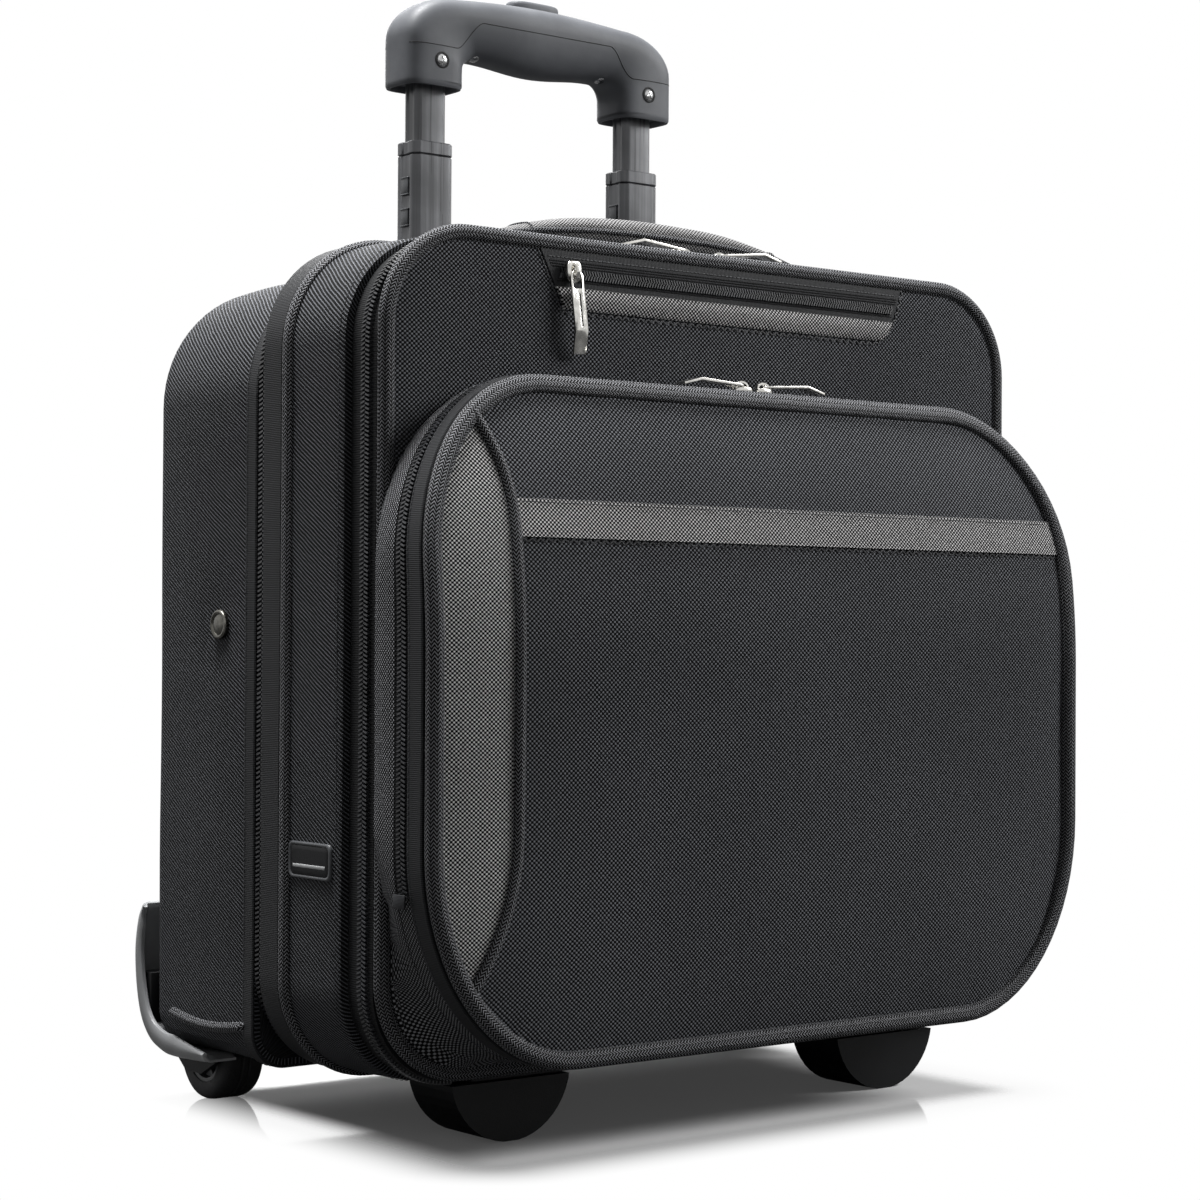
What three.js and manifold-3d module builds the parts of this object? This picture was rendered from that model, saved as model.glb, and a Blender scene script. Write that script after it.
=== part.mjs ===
// Pilot rolling flight case: a soft-sided wheeled case with a telescoping trolley.
// Millimetres, +Z up, the front of the case faces -Y.
// Depths are written from the front panel's seam and shifted so that the case is centred on the origin.
import * as THREE from 'three';
import { mergeVertices } from 'three/addons/utils/BufferGeometryUtils.js';
import Module from 'manifold-3d';

const wasm = await Module();
wasm.setup();

// ---------- driving sizes ----------
const GAP = 0.3;                 // clearance between pieces that touch or turn
const BASE_Z = 30;               // underside of the case above the floor
const CASE_HALF_W = 212;         // half width of the middle section
const CASE_TOP = 437;            // top of the middle section
const SHELL_T = 5;               // padded wall of the middle section
const REAR_HALF_W = CASE_HALF_W - 2;    // half width of the rear compartment
const REAR_TOP = CASE_TOP - 9;   // top of the rear compartment
const REAR_T = 4;                // wall of the rear compartment
const REAR_ROUND = 12;           // how far the rear edge rounds in
const CORNER_TOP = 54;           // upper corner radius
const CORNER_LOW = 48;           // lower corner radius
const REAR_CORNER_TOP = 66;      // upper corner radius of the rear compartment
const REAR_CORNER_LOW = 18;      // lower corner radius of the rear compartment

// Depths run from the middle section to the rear and to the front.
const MIDDLE_SEAM_Y = 10;        // seam between the middle section and the rear zip
const MIDDLE_D = 69;             // depth of the middle section
const REAR_ZIP_D = 11;           // depth of the zip round the rear compartment
const REAR_D = 105;              // depth of the rear compartment
const MAIN_ZIP_D = 14;           // from the middle section to where the main zip's halves meet
const MAIN_ZIP_FRONT_D = 6.5;    // from there to the front panel
const POCKET_D = 33.5;           // from the panel's seam to where the pocket zip's halves meet
const POCKET_FRONT_D = 18;       // from there to the pocket's front
const REAR_SEAM_Y = MIDDLE_SEAM_Y + REAR_ZIP_D;
const REAR_Y = REAR_SEAM_Y + REAR_D;
const MIDDLE_FRONT_Y = MIDDLE_SEAM_Y - MIDDLE_D;
const MAIN_ZIP_Y = MIDDLE_FRONT_Y - MAIN_ZIP_D;
const PANEL_SEAM_Y = MAIN_ZIP_Y - MAIN_ZIP_FRONT_D;    // rear face of the front panel, its hinge line
const PANEL_T = 6.7;             // padded front panel
const COIL_T = 3.5;              // zip tape and coil
const HINGE_END = 15;            // the hinge web stops this far short of the lower corners
const HINGE_HALF_W = CASE_HALF_W - CORNER_LOW - HINGE_END;

const PANEL_HALF_W = CASE_HALF_W - 3;
const PANEL_LOW = BASE_Z + 3;
const PANEL_TOP = CASE_TOP + 3;
const PANEL_CORNER = 50;
const PIPING_W = 6;              // width of the piping seen from the front
const PIPING_PROUD = 1;          // how far the panel piping stands forward of the panel
const MID_PIPING_BACK = 25;      // front edge of the middle piping, measured from the rear seam
const MID_PIPING_Y = MIDDLE_SEAM_Y - MID_PIPING_BACK;
const MID_PIPING_W = 8;
const MID_PIPING_T = 3;

const POCKET_HALF_W = CASE_HALF_W + 3;
const POCKET_LOW = BASE_Z + 12;
const POCKET_DROP = 69;          // the pocket's top lies this far below the top of the case
const POCKET_TOP = CASE_TOP - POCKET_DROP;
const POCKET_CORNER = { tx: 80, tz: 92, bx: 86, bz: 104 };    // upper and lower corner radii
const POCKET_T = 4;              // pocket gusset and front
const POCKET_ZIP_Y = PANEL_SEAM_Y - POCKET_D;
const POCKET_FACE_Y = POCKET_ZIP_Y - POCKET_FRONT_D;
const POCKET_BEND = 9;           // behind its zip the gusset starts to narrow after this depth
const POCKET_ZIP_RISE = 83;      // the pocket zip stops this far above the pocket's bottom
const POCKET_ZIP_END_Z = POCKET_LOW + POCKET_ZIP_RISE;
const POCKET_TAPER_H = 138;      // the upper part of the pocket over which it gets shallower
const POCKET_TAPER_Z = POCKET_TOP - POCKET_TAPER_H;
const POCKET_TAPER = 0.484;      // share of its depth that the pocket loses at the top
const POCKET_REAR_INSET = 9;     // the gusset is narrower where it is sewn to the panel
const TRIM_T = 1.6;              // sewn-on trim such as the band and the lens-shaped insert

const DIVIDER_T = 5;             // divider between the compartments
const DIVIDER_Y = MIDDLE_SEAM_Y - 12;
const LINING_T = 2.5;
const BOARD_T = 3;
const BOARD_END = 14;
const BOARD_HALF_W = CASE_HALF_W - CORNER_LOW - BOARD_END;

const TROLLEY_BACK = 48;         // middle of the tubes ahead of the rear face
const TROLLEY_Y = REAR_Y - TROLLEY_BACK;
const TROLLEY_HALF_X = 72.3;
const LINING_Y = TROLLEY_Y - 20; // front face of the lining that hides the trolley tubes
const OUTER_W = 32;
const OUTER_D = 26;
const OUTER_WALL = 1.6;
const MID_W = 26.4;
const MID_D = 20.4;
const MID_WALL = 1.5;
const INNER_W = 20;
const INNER_D = 14.6;
const INNER_WALL = 1.8;
const BRACKET_TOP = 48;
const BEZEL_T = 3;
const MID_DRAWN = 83.5;          // top of the middle tubes above the case, trolley partly drawn out
const COLLAR_TOP = REAR_TOP + MID_DRAWN;
const COLLAR_H = 7;

const INNER_DRAWN = 29.5;        // underside of the grip above the middle tubes
const GRIP_LOW = COLLAR_TOP + INNER_DRAWN;
const GRIP_HALF_W = TROLLEY_HALF_X + 19.7;
const GRIP_D = 32;
const GRIP_H = 54;
const GRIP_TOP = GRIP_LOW + GRIP_H;
const GRIP_LEG_W = 37;
const GRIP_BRIDGE_LOW = GRIP_LOW + 19;
const GRIP_PART_END = GRIP_LOW + 22;    // parting line at the ends of the grip
const GRIP_PART_MID = GRIP_LOW + 38;    // parting line in the middle of the grip
const BUTTON_HALF_W = 16.5;
const BUTTON_D = 15;
const BUTTON_TRAVEL = 3;
const BUTTON_PROUD = 3.4;
const SCREW_HEAD_R = 3.5;

const WHEEL_R = 25;
const WHEEL_W = 24;
const WHEEL_INSET = 34;          // middle of a wheel inside the side of the rear compartment
const WHEEL_X = REAR_HALF_W - WHEEL_INSET;
const WHEEL_Y = REAR_Y + 9 - WHEEL_R;
const AXLE_R = 3;
const HOUSING_WALL = 3;
const WHEEL_CLEAR = 2.4;         // running clearance round a wheel in its arch
const CHEEK_DROP = 10;           // how far the housing's cheeks reach below the axle
const GUARD_TOP = BASE_Z + 73;
const GUARD_T = 4;
const GUARD_RIM = 15;            // width of the guard's rim on the side of the case
const GUARD_IN_X = WHEEL_X - 26; // inner end of a corner guard
const GUARD_PROUD = 14;          // how far the guard stands behind the case
const FOOT_R = 36;
const FOOT_X = CASE_HALF_W - CORNER_LOW - FOOT_R - 2;
const FOOT_FRONT_Y = PANEL_SEAM_Y + 0.9;
const FOOT_D = 36;
const FOOT_WALL = 4;

const HANDLE_Y = MIDDLE_SEAM_Y - 32;
const HANDLE_D = 28;
const HANDLE_HALF_W = 97;
const HANDLE_T = 9;
const HANDLE_TOP = CASE_TOP + 32.5;
const HANDLE_END_Z = CASE_TOP + 8.8;    // underside of the handle's ends
const ANCHOR_LEN = 26;

const ORGANISER_X0 = -PANEL_HALF_W + 105;    // left end of the zip across the front panel
const ORGANISER_X1 = PANEL_HALF_W - 87;
const ORGANISER_Z = PANEL_TOP - 18;     // middle of that zip
const ORGANISER_H = 14;
const STRIP_H = 11;
const BAND_Z0 = POCKET_TOP - 78;
const BAND_H = 18;
const BAND_Z1 = BAND_Z0 + BAND_H;
const BAND_X0 = -POCKET_HALF_W + 63;
const LENS_X = -POCKET_HALF_W + 34;     // line through the tips of the lens-shaped insert
const LENS_INNER = 26;                  // how far its inner edge bows from that line
const LENS_OUTER = 24;
const LENS_TOP_Z = POCKET_TOP - 32;
const LENS_LOW_Z = POCKET_LOW + 34;
const LABEL_Y0 = MIDDLE_FRONT_Y + 7;
const LABEL_LEN = 37;
const LABEL_Z0 = 127.5;
const LABEL_H = 17.5;
const RIVET_R = 7.5;
const RIVET_Y = LINING_Y - 2;    // the rivets hold the ends of that lining
const RIVET_Z = 249;
const PULL_LEN = 40;
const ORGANISER_PULL_LEN = 40;
const MAIN_SLIDERS_X = [-15, 9];
const POCKET_SLIDERS_X = [0.5, 15];

// the case is centred front to back on the piping of the pocket and the back of the guards
const POCKET_PLATE_Y = POCKET_FACE_Y - POCKET_T;
const POCKET_PIPING_FRONT_Y = POCKET_PLATE_Y - GAP - TRIM_T - 0.6;
const GUARD_REAR_Y = REAR_Y + GUARD_PROUD;
const CENTRE_Y = (POCKET_PIPING_FRONT_Y + GUARD_REAR_Y) / 2;

// ---------- helpers ----------
const group = new THREE.Group();
group.name = 'pilot_rolling_flight_case';

function material(color, roughness, metalness = 0) {
  return new THREE.MeshStandardMaterial({ color, roughness, metalness });
}
const BALLISTIC = material(0x26272a, 0.9);
const GREY_FABRIC = material(0x62615f, 0.85);
const PIPING = material(0x1f2022, 0.85);
const COIL = material(0x17181a, 0.6);
const LINING = material(0x3a3b3d, 0.9);
const BOARD = material(0x1b1b1c, 0.6);
const TUBE = material(0x3d3f42, 0.35, 0.9);
const BLACK_PLASTIC = material(0x1d1e20, 0.5);
const GRIP_PLASTIC = material(0x45474a, 0.6);
const GUARD_PLASTIC = material(0x6a6c6c, 0.45);
const TYRE = material(0x151516, 0.8);
const STEEL = material(0x8a8c8c, 0.35, 1);
const NICKEL = material(0xc4c3bd, 0.25, 1);

function add(name, geometry, mat) {
  const placed = geometry.clone();
  placed.translate(0, -CENTRE_Y, 0);
  const mesh = new THREE.Mesh(placed, mat);
  mesh.name = name;
  group.add(mesh);
}

function solid(geometry) {
  const bare = geometry.clone();
  bare.deleteAttribute('normal');
  bare.deleteAttribute('uv');
  const welded = mergeVertices(bare, 1e-4);
  return new wasm.Manifold(new wasm.Mesh({
    numProp: 3,
    vertProperties: new Float32Array(welded.attributes.position.array),
    triVerts: new Uint32Array(welded.index.array),
  }));
}

function geometryOf(manifold) {
  const mesh = manifold.getMesh();
  const geometry = new THREE.BufferGeometry();
  geometry.setAttribute('position', new THREE.BufferAttribute(new Float32Array(mesh.vertProperties), 3));
  geometry.setIndex(new THREE.BufferAttribute(new Uint32Array(mesh.triVerts), 1));
  geometry.computeVertexNormals();
  return geometry;
}

function cut(geometry, ...tools) {
  let body = solid(geometry);
  for (const tool of tools) body = body.subtract(solid(tool));
  return geometryOf(body);
}

function join(...geometries) {
  let body = solid(geometries[0]);
  for (const other of geometries.slice(1)) body = body.add(solid(other));
  return geometryOf(body);
}

function keep(geometry, tool) {
  return geometryOf(solid(geometry).intersect(solid(tool)));
}

function box(x0, x1, y0, y1, z0, z1) {
  const geometry = new THREE.BoxGeometry(x1 - x0, y1 - y0, z1 - z0);
  geometry.translate((x0 + x1) / 2, (y0 + y1) / 2, (z0 + z1) / 2);
  return geometry;
}

// A cylinder along X, Y or Z, centred on a point.
function pin(axis, r, length, x, y, z, segments = 20) {
  const geometry = new THREE.CylinderGeometry(r, r, length, segments);
  if (axis === 'x') geometry.rotateZ(Math.PI / 2);
  if (axis === 'z') geometry.rotateX(Math.PI / 2);
  geometry.translate(x, y, z);
  return geometry;
}

// A turned solid about X from [radius, along] pairs listed in order round its section.
function turnedX(profile, x, y, z, segments = 32) {
  const points = profile.map(([r, a]) => new THREE.Vector2(r, a));
  points.push(points[0].clone());
  const geometry = new THREE.LatheGeometry(points, segments);
  geometry.rotateZ(-Math.PI / 2);
  geometry.translate(x, y, z);
  return geometry;
}

// A prism whose outline lies in the XZ plane and which runs from y0 to y1.
function prism(points, y0, y1, hole = null, bevel = 0) {
  const shape = new THREE.Shape(points.map(([x, z]) => new THREE.Vector2(x, z)));
  if (hole) shape.holes.push(new THREE.Path(hole.map(([x, z]) => new THREE.Vector2(x, z))));
  const geometry = new THREE.ExtrudeGeometry(shape, {
    depth: y1 - y0 - 2 * bevel,
    bevelEnabled: bevel > 0,
    bevelThickness: bevel,
    bevelSize: bevel,
    bevelOffset: -bevel,
    bevelSegments: 2,
  });
  geometry.rotateX(Math.PI / 2);
  geometry.translate(0, y1 - bevel, 0);
  return geometry;
}

// A prism whose outline lies in the YZ plane and which runs from x0 to x1.
function prismX(points, x0, x1) {
  const shape = new THREE.Shape(points.map(([y, z]) => new THREE.Vector2(y, z)));
  const geometry = new THREE.ExtrudeGeometry(shape, { depth: x1 - x0, bevelEnabled: false });
  geometry.rotateX(Math.PI / 2);
  geometry.rotateZ(Math.PI / 2);
  geometry.translate(x0, 0, 0);
  return geometry;
}

// Rounded upright outline with elliptical corners, moved inward by an inset.
function outline(s, inset = 0, steps = 6) {
  const hw = s.hw - inset;
  const low = s.low + inset;
  const top = s.top - inset;
  const corner = (rx, rz) => [Math.max(rx - inset, 1), Math.max(rz - inset, 1)];
  const [tx, tz] = corner(s.tx, s.tz);
  const [bx, bz] = corner(s.bx, s.bz);
  const centres = [
    [hw - tx, top - tz, tx, tz, 0],
    [-(hw - tx), top - tz, tx, tz, 90],
    [-(hw - bx), low + bz, bx, bz, 180],
    [hw - bx, low + bz, bx, bz, 270],
  ];
  const points = [];
  for (const [cx, cz, rx, rz, start] of centres) {
    for (let i = 0; i <= steps; i += 1) {
      const a = ((start + (90 * i) / steps) * Math.PI) / 180;
      points.push([cx + rx * Math.cos(a), cz + rz * Math.sin(a)]);
    }
  }
  return points;
}

function band(s, y0, y1, insetOut, insetIn, bevel = 0) {
  return prism(outline(s, insetOut), y0, y1, outline(s, insetIn), bevel);
}

// A solid through outlines of equal count, listed from the front to the rear.
function loft(sections) {
  const count = sections[0].points.length;
  const positions = [];
  for (const { points, y } of sections) {
    for (const [x, z] of points) positions.push(x, y, z);
  }
  const index = [];
  for (let s = 0; s < sections.length - 1; s += 1) {
    for (let i = 0; i < count; i += 1) {
      const a = s * count + i;
      const b = s * count + ((i + 1) % count);
      index.push(a, b, b + count, a, b + count, a + count);
    }
  }
  const cap = (section, flip) => {
    const first = section * count;
    for (let i = 1; i < count - 1; i += 1) {
      if (flip) index.push(first, first + i + 1, first + i);
      else index.push(first, first + i, first + i + 1);
    }
  };
  cap(0, true);
  cap(sections.length - 1, false);
  for (let t = 0; t < index.length; t += 3) {
    [index[t + 1], index[t + 2]] = [index[t + 2], index[t + 1]];
  }
  const geometry = new THREE.BufferGeometry();
  geometry.setAttribute('position', new THREE.Float32BufferAttribute(positions, 3));
  geometry.setIndex(index);
  geometry.computeVertexNormals();
  return geometry;
}

const SIDES = [['left', -1], ['right', 1]];

// ---------- outlines ----------
const MIDDLE = {
  hw: CASE_HALF_W, low: BASE_Z, top: CASE_TOP,
  tx: CORNER_TOP, tz: CORNER_TOP, bx: CORNER_LOW, bz: CORNER_LOW,
};
const REAR = {
  hw: REAR_HALF_W, low: BASE_Z, top: REAR_TOP,
  tx: REAR_CORNER_TOP, tz: REAR_CORNER_TOP, bx: REAR_CORNER_LOW, bz: REAR_CORNER_LOW,
};
const ZIP = {
  hw: (CASE_HALF_W + REAR_HALF_W) / 2 - 1, low: BASE_Z + 1, top: (CASE_TOP + REAR_TOP) / 2,
  tx: CORNER_TOP + 4, tz: CORNER_TOP + 4, bx: CORNER_LOW, bz: CORNER_LOW,
};
const MAIN_ZIP = { ...MIDDLE, hw: CASE_HALF_W - 3, low: BASE_Z + 1 };
const PANEL = {
  hw: PANEL_HALF_W, low: PANEL_LOW, top: PANEL_TOP,
  tx: PANEL_CORNER, tz: PANEL_CORNER, bx: PANEL_CORNER, bz: PANEL_CORNER,
};
const POCKET = {
  hw: POCKET_HALF_W, low: POCKET_LOW, top: POCKET_TOP,
  ...POCKET_CORNER,
};

// ---------- rear compartment ----------
const HOUSING_HALF_X = WHEEL_W / 2 + WHEEL_CLEAR + HOUSING_WALL;
const HOUSING_TOP = 2 * WHEEL_R + WHEEL_CLEAR + HOUSING_WALL;
const HOUSING_FRONT_Y = WHEEL_Y - WHEEL_R - WHEEL_CLEAR - HOUSING_WALL;

function rearSections(inset, frontY, rearY) {
  const start = rearY - REAR_ROUND;
  const sections = [{ y: frontY, points: outline(REAR, inset) }];
  for (const share of [0, 0.35, 0.65, 0.86, 0.97, 1]) {
    const shrink = (REAR_ROUND - inset) * (1 - Math.sqrt(1 - share * share));
    sections.push({ y: start + share * REAR_ROUND, points: outline(REAR, inset + shrink) });
  }
  return sections;
}

const tubeHoles = SIDES.map(([, s]) => box(
  s * TROLLEY_HALF_X - MID_W / 2 - 1, s * TROLLEY_HALF_X + MID_W / 2 + 1,
  TROLLEY_Y - MID_D / 2 - 1, TROLLEY_Y + MID_D / 2 + 1, REAR_TOP - 20, REAR_TOP + 20,
));
const archCuts = SIDES.map(([, s]) => box(
  s * WHEEL_X - HOUSING_HALF_X - GAP, s * WHEEL_X + HOUSING_HALF_X + GAP,
  HOUSING_FRONT_Y - GAP, REAR_Y + 20, BASE_Z - 10, HOUSING_TOP + GAP,
));
const rivetHoles = SIDES.map(([, s]) => pin('x', 2.8, 20, s * REAR_HALF_W, RIVET_Y, RIVET_Z, 12));
add('rear_shell', cut(
  loft(rearSections(0, REAR_SEAM_Y, REAR_Y)),
  loft(rearSections(REAR_T, REAR_SEAM_Y - 5, REAR_Y - REAR_T)),
  ...tubeHoles, ...archCuts, ...rivetHoles,
), BALLISTIC);
add('rear_zip', band(ZIP, MIDDLE_SEAM_Y, REAR_SEAM_Y - GAP, 0, REAR_T), COIL);

// ---------- middle section ----------
const hingeWeb = box(
  -HINGE_HALF_W, HINGE_HALF_W, PANEL_SEAM_Y + 0.5, MIDDLE_FRONT_Y + 3, BASE_Z + 1, BASE_Z + 3,
);
add('middle_shell', join(
  band(MIDDLE, MIDDLE_FRONT_Y, MIDDLE_SEAM_Y - GAP, 0, SHELL_T), hingeWeb,
), BALLISTIC);
add('middle_piping', band(
  MIDDLE, MID_PIPING_Y, MID_PIPING_Y + MID_PIPING_W, -GAP - MID_PIPING_T, -GAP,
), PIPING);
const hingeGap = box(
  -HINGE_HALF_W - 1, HINGE_HALF_W + 1, PANEL_SEAM_Y - 5, MIDDLE_FRONT_Y, BASE_Z - 10, BASE_Z + 20,
);
add('main_zip_rear_half', cut(
  band(MAIN_ZIP, MAIN_ZIP_Y + GAP / 2, MIDDLE_FRONT_Y - GAP, 0, COIL_T), hingeGap,
), COIL);
add('divider_panel', prism(
  outline({ ...MIDDLE, low: BASE_Z + BOARD_T + 1 }, SHELL_T + 0.5),
  DIVIDER_Y, DIVIDER_Y + DIVIDER_T,
), LINING);

// ---------- inside of the rear compartment ----------
const BOARD_LOW = BASE_Z + SHELL_T + GAP;
add('base_board', box(
  -BOARD_HALF_W, BOARD_HALF_W, MIDDLE_FRONT_Y, REAR_Y - REAR_ROUND,
  BOARD_LOW, BOARD_LOW + BOARD_T,
), BOARD);
const LINING_LOW = BOARD_LOW + BOARD_T + GAP;
add('trolley_lining', cut(
  prism(outline(REAR, REAR_T + 0.5), LINING_Y, LINING_Y + LINING_T),
  box(-REAR_HALF_W, REAR_HALF_W, LINING_Y - 5, LINING_Y + 10, 0, LINING_LOW),
), LINING);

// ---------- trolley ----------
// A rectangular tube with chamfered corners that stands along Z.
function section(w, d, chamfer) {
  const x = w / 2;
  const y = d / 2;
  return [
    [x, -y + chamfer], [x, y - chamfer], [x - chamfer, y], [-x + chamfer, y],
    [-x, y - chamfer], [-x, -y + chamfer], [-x + chamfer, -y], [x - chamfer, -y],
  ];
}
function upright(w, d, chamfer, x, z0, z1, wall = 0) {
  const shape = new THREE.Shape(section(w, d, chamfer).map(([a, b]) => new THREE.Vector2(a, b)));
  if (wall) {
    const inner = section(w - 2 * wall, d - 2 * wall, chamfer * 0.8);
    shape.holes.push(new THREE.Path(inner.map(([a, b]) => new THREE.Vector2(a, b))));
  }
  const geometry = new THREE.ExtrudeGeometry(shape, { depth: z1 - z0, bevelEnabled: false });
  geometry.translate(x, TROLLEY_Y, z0);
  return geometry;
}

const CHAMFER = 4.5;
const OUTER_LOW = BRACKET_TOP + GAP;
const OUTER_TOP = REAR_TOP - REAR_T - GAP;
const SPIGOT_H = 6;
const MID_LEN = OUTER_TOP - OUTER_LOW + 4.6;
const MID_LOW = COLLAR_TOP - COLLAR_H - GAP - MID_LEN;
const INNER_TOP = GRIP_LOW + 16;
const INNER_LEN = MID_LEN - 2;
const INNER_LOW = INNER_TOP - INNER_LEN;

let bracket = box(
  -TROLLEY_HALF_X - 24, TROLLEY_HALF_X + 24, TROLLEY_Y - 15, TROLLEY_Y + 15, LINING_LOW, BRACKET_TOP,
);
for (const [, s] of SIDES) {
  bracket = join(bracket, upright(
    OUTER_W - 2 * OUTER_WALL - 2 * GAP, OUTER_D - 2 * OUTER_WALL - 2 * GAP, CHAMFER,
    s * TROLLEY_HALF_X, BRACKET_TOP - 1, BRACKET_TOP + SPIGOT_H,
  ));
}
add('tube_bracket', bracket, BLACK_PLASTIC);

const bezelHoles = SIDES.map(([, s]) => box(
  s * TROLLEY_HALF_X - MID_W / 2 - GAP, s * TROLLEY_HALF_X + MID_W / 2 + GAP,
  TROLLEY_Y - MID_D / 2 - GAP, TROLLEY_Y + MID_D / 2 + GAP, REAR_TOP - 5, REAR_TOP + 20,
));
add('tube_bezel', cut(box(
  -TROLLEY_HALF_X - 24, TROLLEY_HALF_X + 24, TROLLEY_Y - 16, TROLLEY_Y + 16,
  REAR_TOP + GAP, REAR_TOP + GAP + BEZEL_T,
), ...bezelHoles), BLACK_PLASTIC);

for (const [side, s] of SIDES) {
  const x = s * TROLLEY_HALF_X;
  add(`outer_tube_${side}`, upright(OUTER_W, OUTER_D, CHAMFER, x, OUTER_LOW, OUTER_TOP, OUTER_WALL), TUBE);
  add(`middle_tube_${side}`, upright(
    MID_W, MID_D, CHAMFER, x, MID_LOW, COLLAR_TOP - COLLAR_H - GAP, MID_WALL,
  ), TUBE);
  add(`middle_collar_${side}`, cut(
    upright(MID_W, MID_D, CHAMFER, x, COLLAR_TOP - COLLAR_H, COLLAR_TOP),
    upright(INNER_W + 2 * GAP, INNER_D + 2 * GAP, CHAMFER * 0.6, x, COLLAR_TOP - 20, COLLAR_TOP + 20),
  ), BLACK_PLASTIC);
  add(`inner_tube_${side}`, upright(
    INNER_W, INNER_D, CHAMFER * 0.6, x, INNER_LOW, INNER_TOP, INNER_WALL,
  ), TUBE);
}

// ---------- grip ----------
function parting(lift) {
  return [
    [GRIP_HALF_W, GRIP_PART_END + lift], [GRIP_HALF_W - 20, GRIP_PART_END + 2 + lift],
    [GRIP_HALF_W - 40, GRIP_PART_MID - 3 + lift], [GRIP_HALF_W - 52, GRIP_PART_MID + lift],
    [-GRIP_HALF_W + 52, GRIP_PART_MID + lift], [-GRIP_HALF_W + 40, GRIP_PART_MID - 3 + lift],
    [-GRIP_HALF_W + 20, GRIP_PART_END + 2 + lift], [-GRIP_HALF_W, GRIP_PART_END + lift],
  ];
}
const LEG_IN = GRIP_HALF_W - GRIP_LEG_W;
const lowerProfile = [
  [-GRIP_HALF_W, GRIP_LOW], [-LEG_IN, GRIP_LOW], [-LEG_IN, GRIP_BRIDGE_LOW - 9],
  [-LEG_IN + 3, GRIP_BRIDGE_LOW - 3], [-LEG_IN + 9, GRIP_BRIDGE_LOW],
  [-LEG_IN + 35, GRIP_BRIDGE_LOW - 1], [LEG_IN - 35, GRIP_BRIDGE_LOW - 1],
  [LEG_IN - 9, GRIP_BRIDGE_LOW],
  [LEG_IN - 3, GRIP_BRIDGE_LOW - 3], [LEG_IN, GRIP_BRIDGE_LOW - 9], [LEG_IN, GRIP_LOW],
  [GRIP_HALF_W, GRIP_LOW], ...parting(0),
];
const upperProfile = [
  ...parting(GAP).reverse(),
  [GRIP_HALF_W, GRIP_TOP - 24], [GRIP_HALF_W - 4, GRIP_TOP - 14], [GRIP_HALF_W - 13, GRIP_TOP - 6.5],
  [GRIP_HALF_W - 28, GRIP_TOP - 3], [GRIP_HALF_W - 52, GRIP_TOP - 0.8],
  [BUTTON_HALF_W + 3.5, GRIP_TOP], [-BUTTON_HALF_W - 3.5, GRIP_TOP],
  [-GRIP_HALF_W + 52, GRIP_TOP - 0.8], [-GRIP_HALF_W + 28, GRIP_TOP - 3],
  [-GRIP_HALF_W + 13, GRIP_TOP - 6.5], [-GRIP_HALF_W + 4, GRIP_TOP - 14], [-GRIP_HALF_W, GRIP_TOP - 24],
];
const GRIP_Y0 = TROLLEY_Y - GRIP_D / 2;
const GRIP_Y1 = TROLLEY_Y + GRIP_D / 2;
const SCREW_Z = GRIP_BRIDGE_LOW - 5;
const sockets = [];
for (const [, s] of SIDES) {
  const x = s * TROLLEY_HALF_X;
  sockets.push(upright(
    INNER_W + 2 * GAP, INNER_D + 2 * GAP, CHAMFER * 0.6, x, GRIP_LOW - 5, INNER_TOP + GAP,
  ));
  sockets.push(pin('y', SCREW_HEAD_R + GAP, 4, x, GRIP_Y0, SCREW_Z));
  sockets.push(pin('y', 1.5 + GAP, 14.8, x, GRIP_Y0, SCREW_Z, 12));
}
add('grip_lower', cut(prism(lowerProfile, GRIP_Y0, GRIP_Y1), ...sockets), GRIP_PLASTIC);
const BUTTON_LOW = GRIP_TOP - 9;
add('grip_upper', cut(prism(upperProfile, GRIP_Y0, GRIP_Y1), box(
  -BUTTON_HALF_W - GAP, BUTTON_HALF_W + GAP,
  TROLLEY_Y - BUTTON_D / 2 - GAP, TROLLEY_Y + BUTTON_D / 2 + GAP,
  BUTTON_LOW - BUTTON_TRAVEL - GAP, GRIP_TOP + 10,
)), GRIP_PLASTIC);
const button = box(
  -BUTTON_HALF_W, BUTTON_HALF_W, TROLLEY_Y - BUTTON_D / 2, TROLLEY_Y + BUTTON_D / 2,
  BUTTON_LOW, GRIP_TOP + BUTTON_PROUD,
);
add('grip_button', keep(button, pin(
  'y', 60, BUTTON_D + 10, 0, TROLLEY_Y, GRIP_TOP + BUTTON_PROUD - 60, 64,
)), BLACK_PLASTIC);
for (const [side, s] of SIDES) {
  const x = s * TROLLEY_HALF_X;
  add(`grip_screw_${side}`, join(
    pin('y', SCREW_HEAD_R, 1.4, x, GRIP_Y0 + 0.9, SCREW_Z),
    pin('y', 1.5, 5.4, x, GRIP_Y0 + 4.2, SCREW_Z, 12),
  ), STEEL);
}

// ---------- wheels, housings and corner guards ----------
const GUARD_LOW = BASE_Z - GAP - GUARD_T;
const guardOuter = [
  [REAR_Y + 6, GUARD_TOP], [REAR_Y + 11, GUARD_TOP - 9], [GUARD_REAR_Y, GUARD_TOP - 24],
  [GUARD_REAR_Y - 1.5, GUARD_LOW + 34], [GUARD_REAR_Y - 7, GUARD_LOW + 17],
  [GUARD_REAR_Y - 17, GUARD_LOW + 6], [GUARD_REAR_Y - 30, GUARD_LOW + 1],
  [GUARD_REAR_Y - 42, GUARD_LOW], [GUARD_REAR_Y - 74, GUARD_LOW],
];
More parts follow.
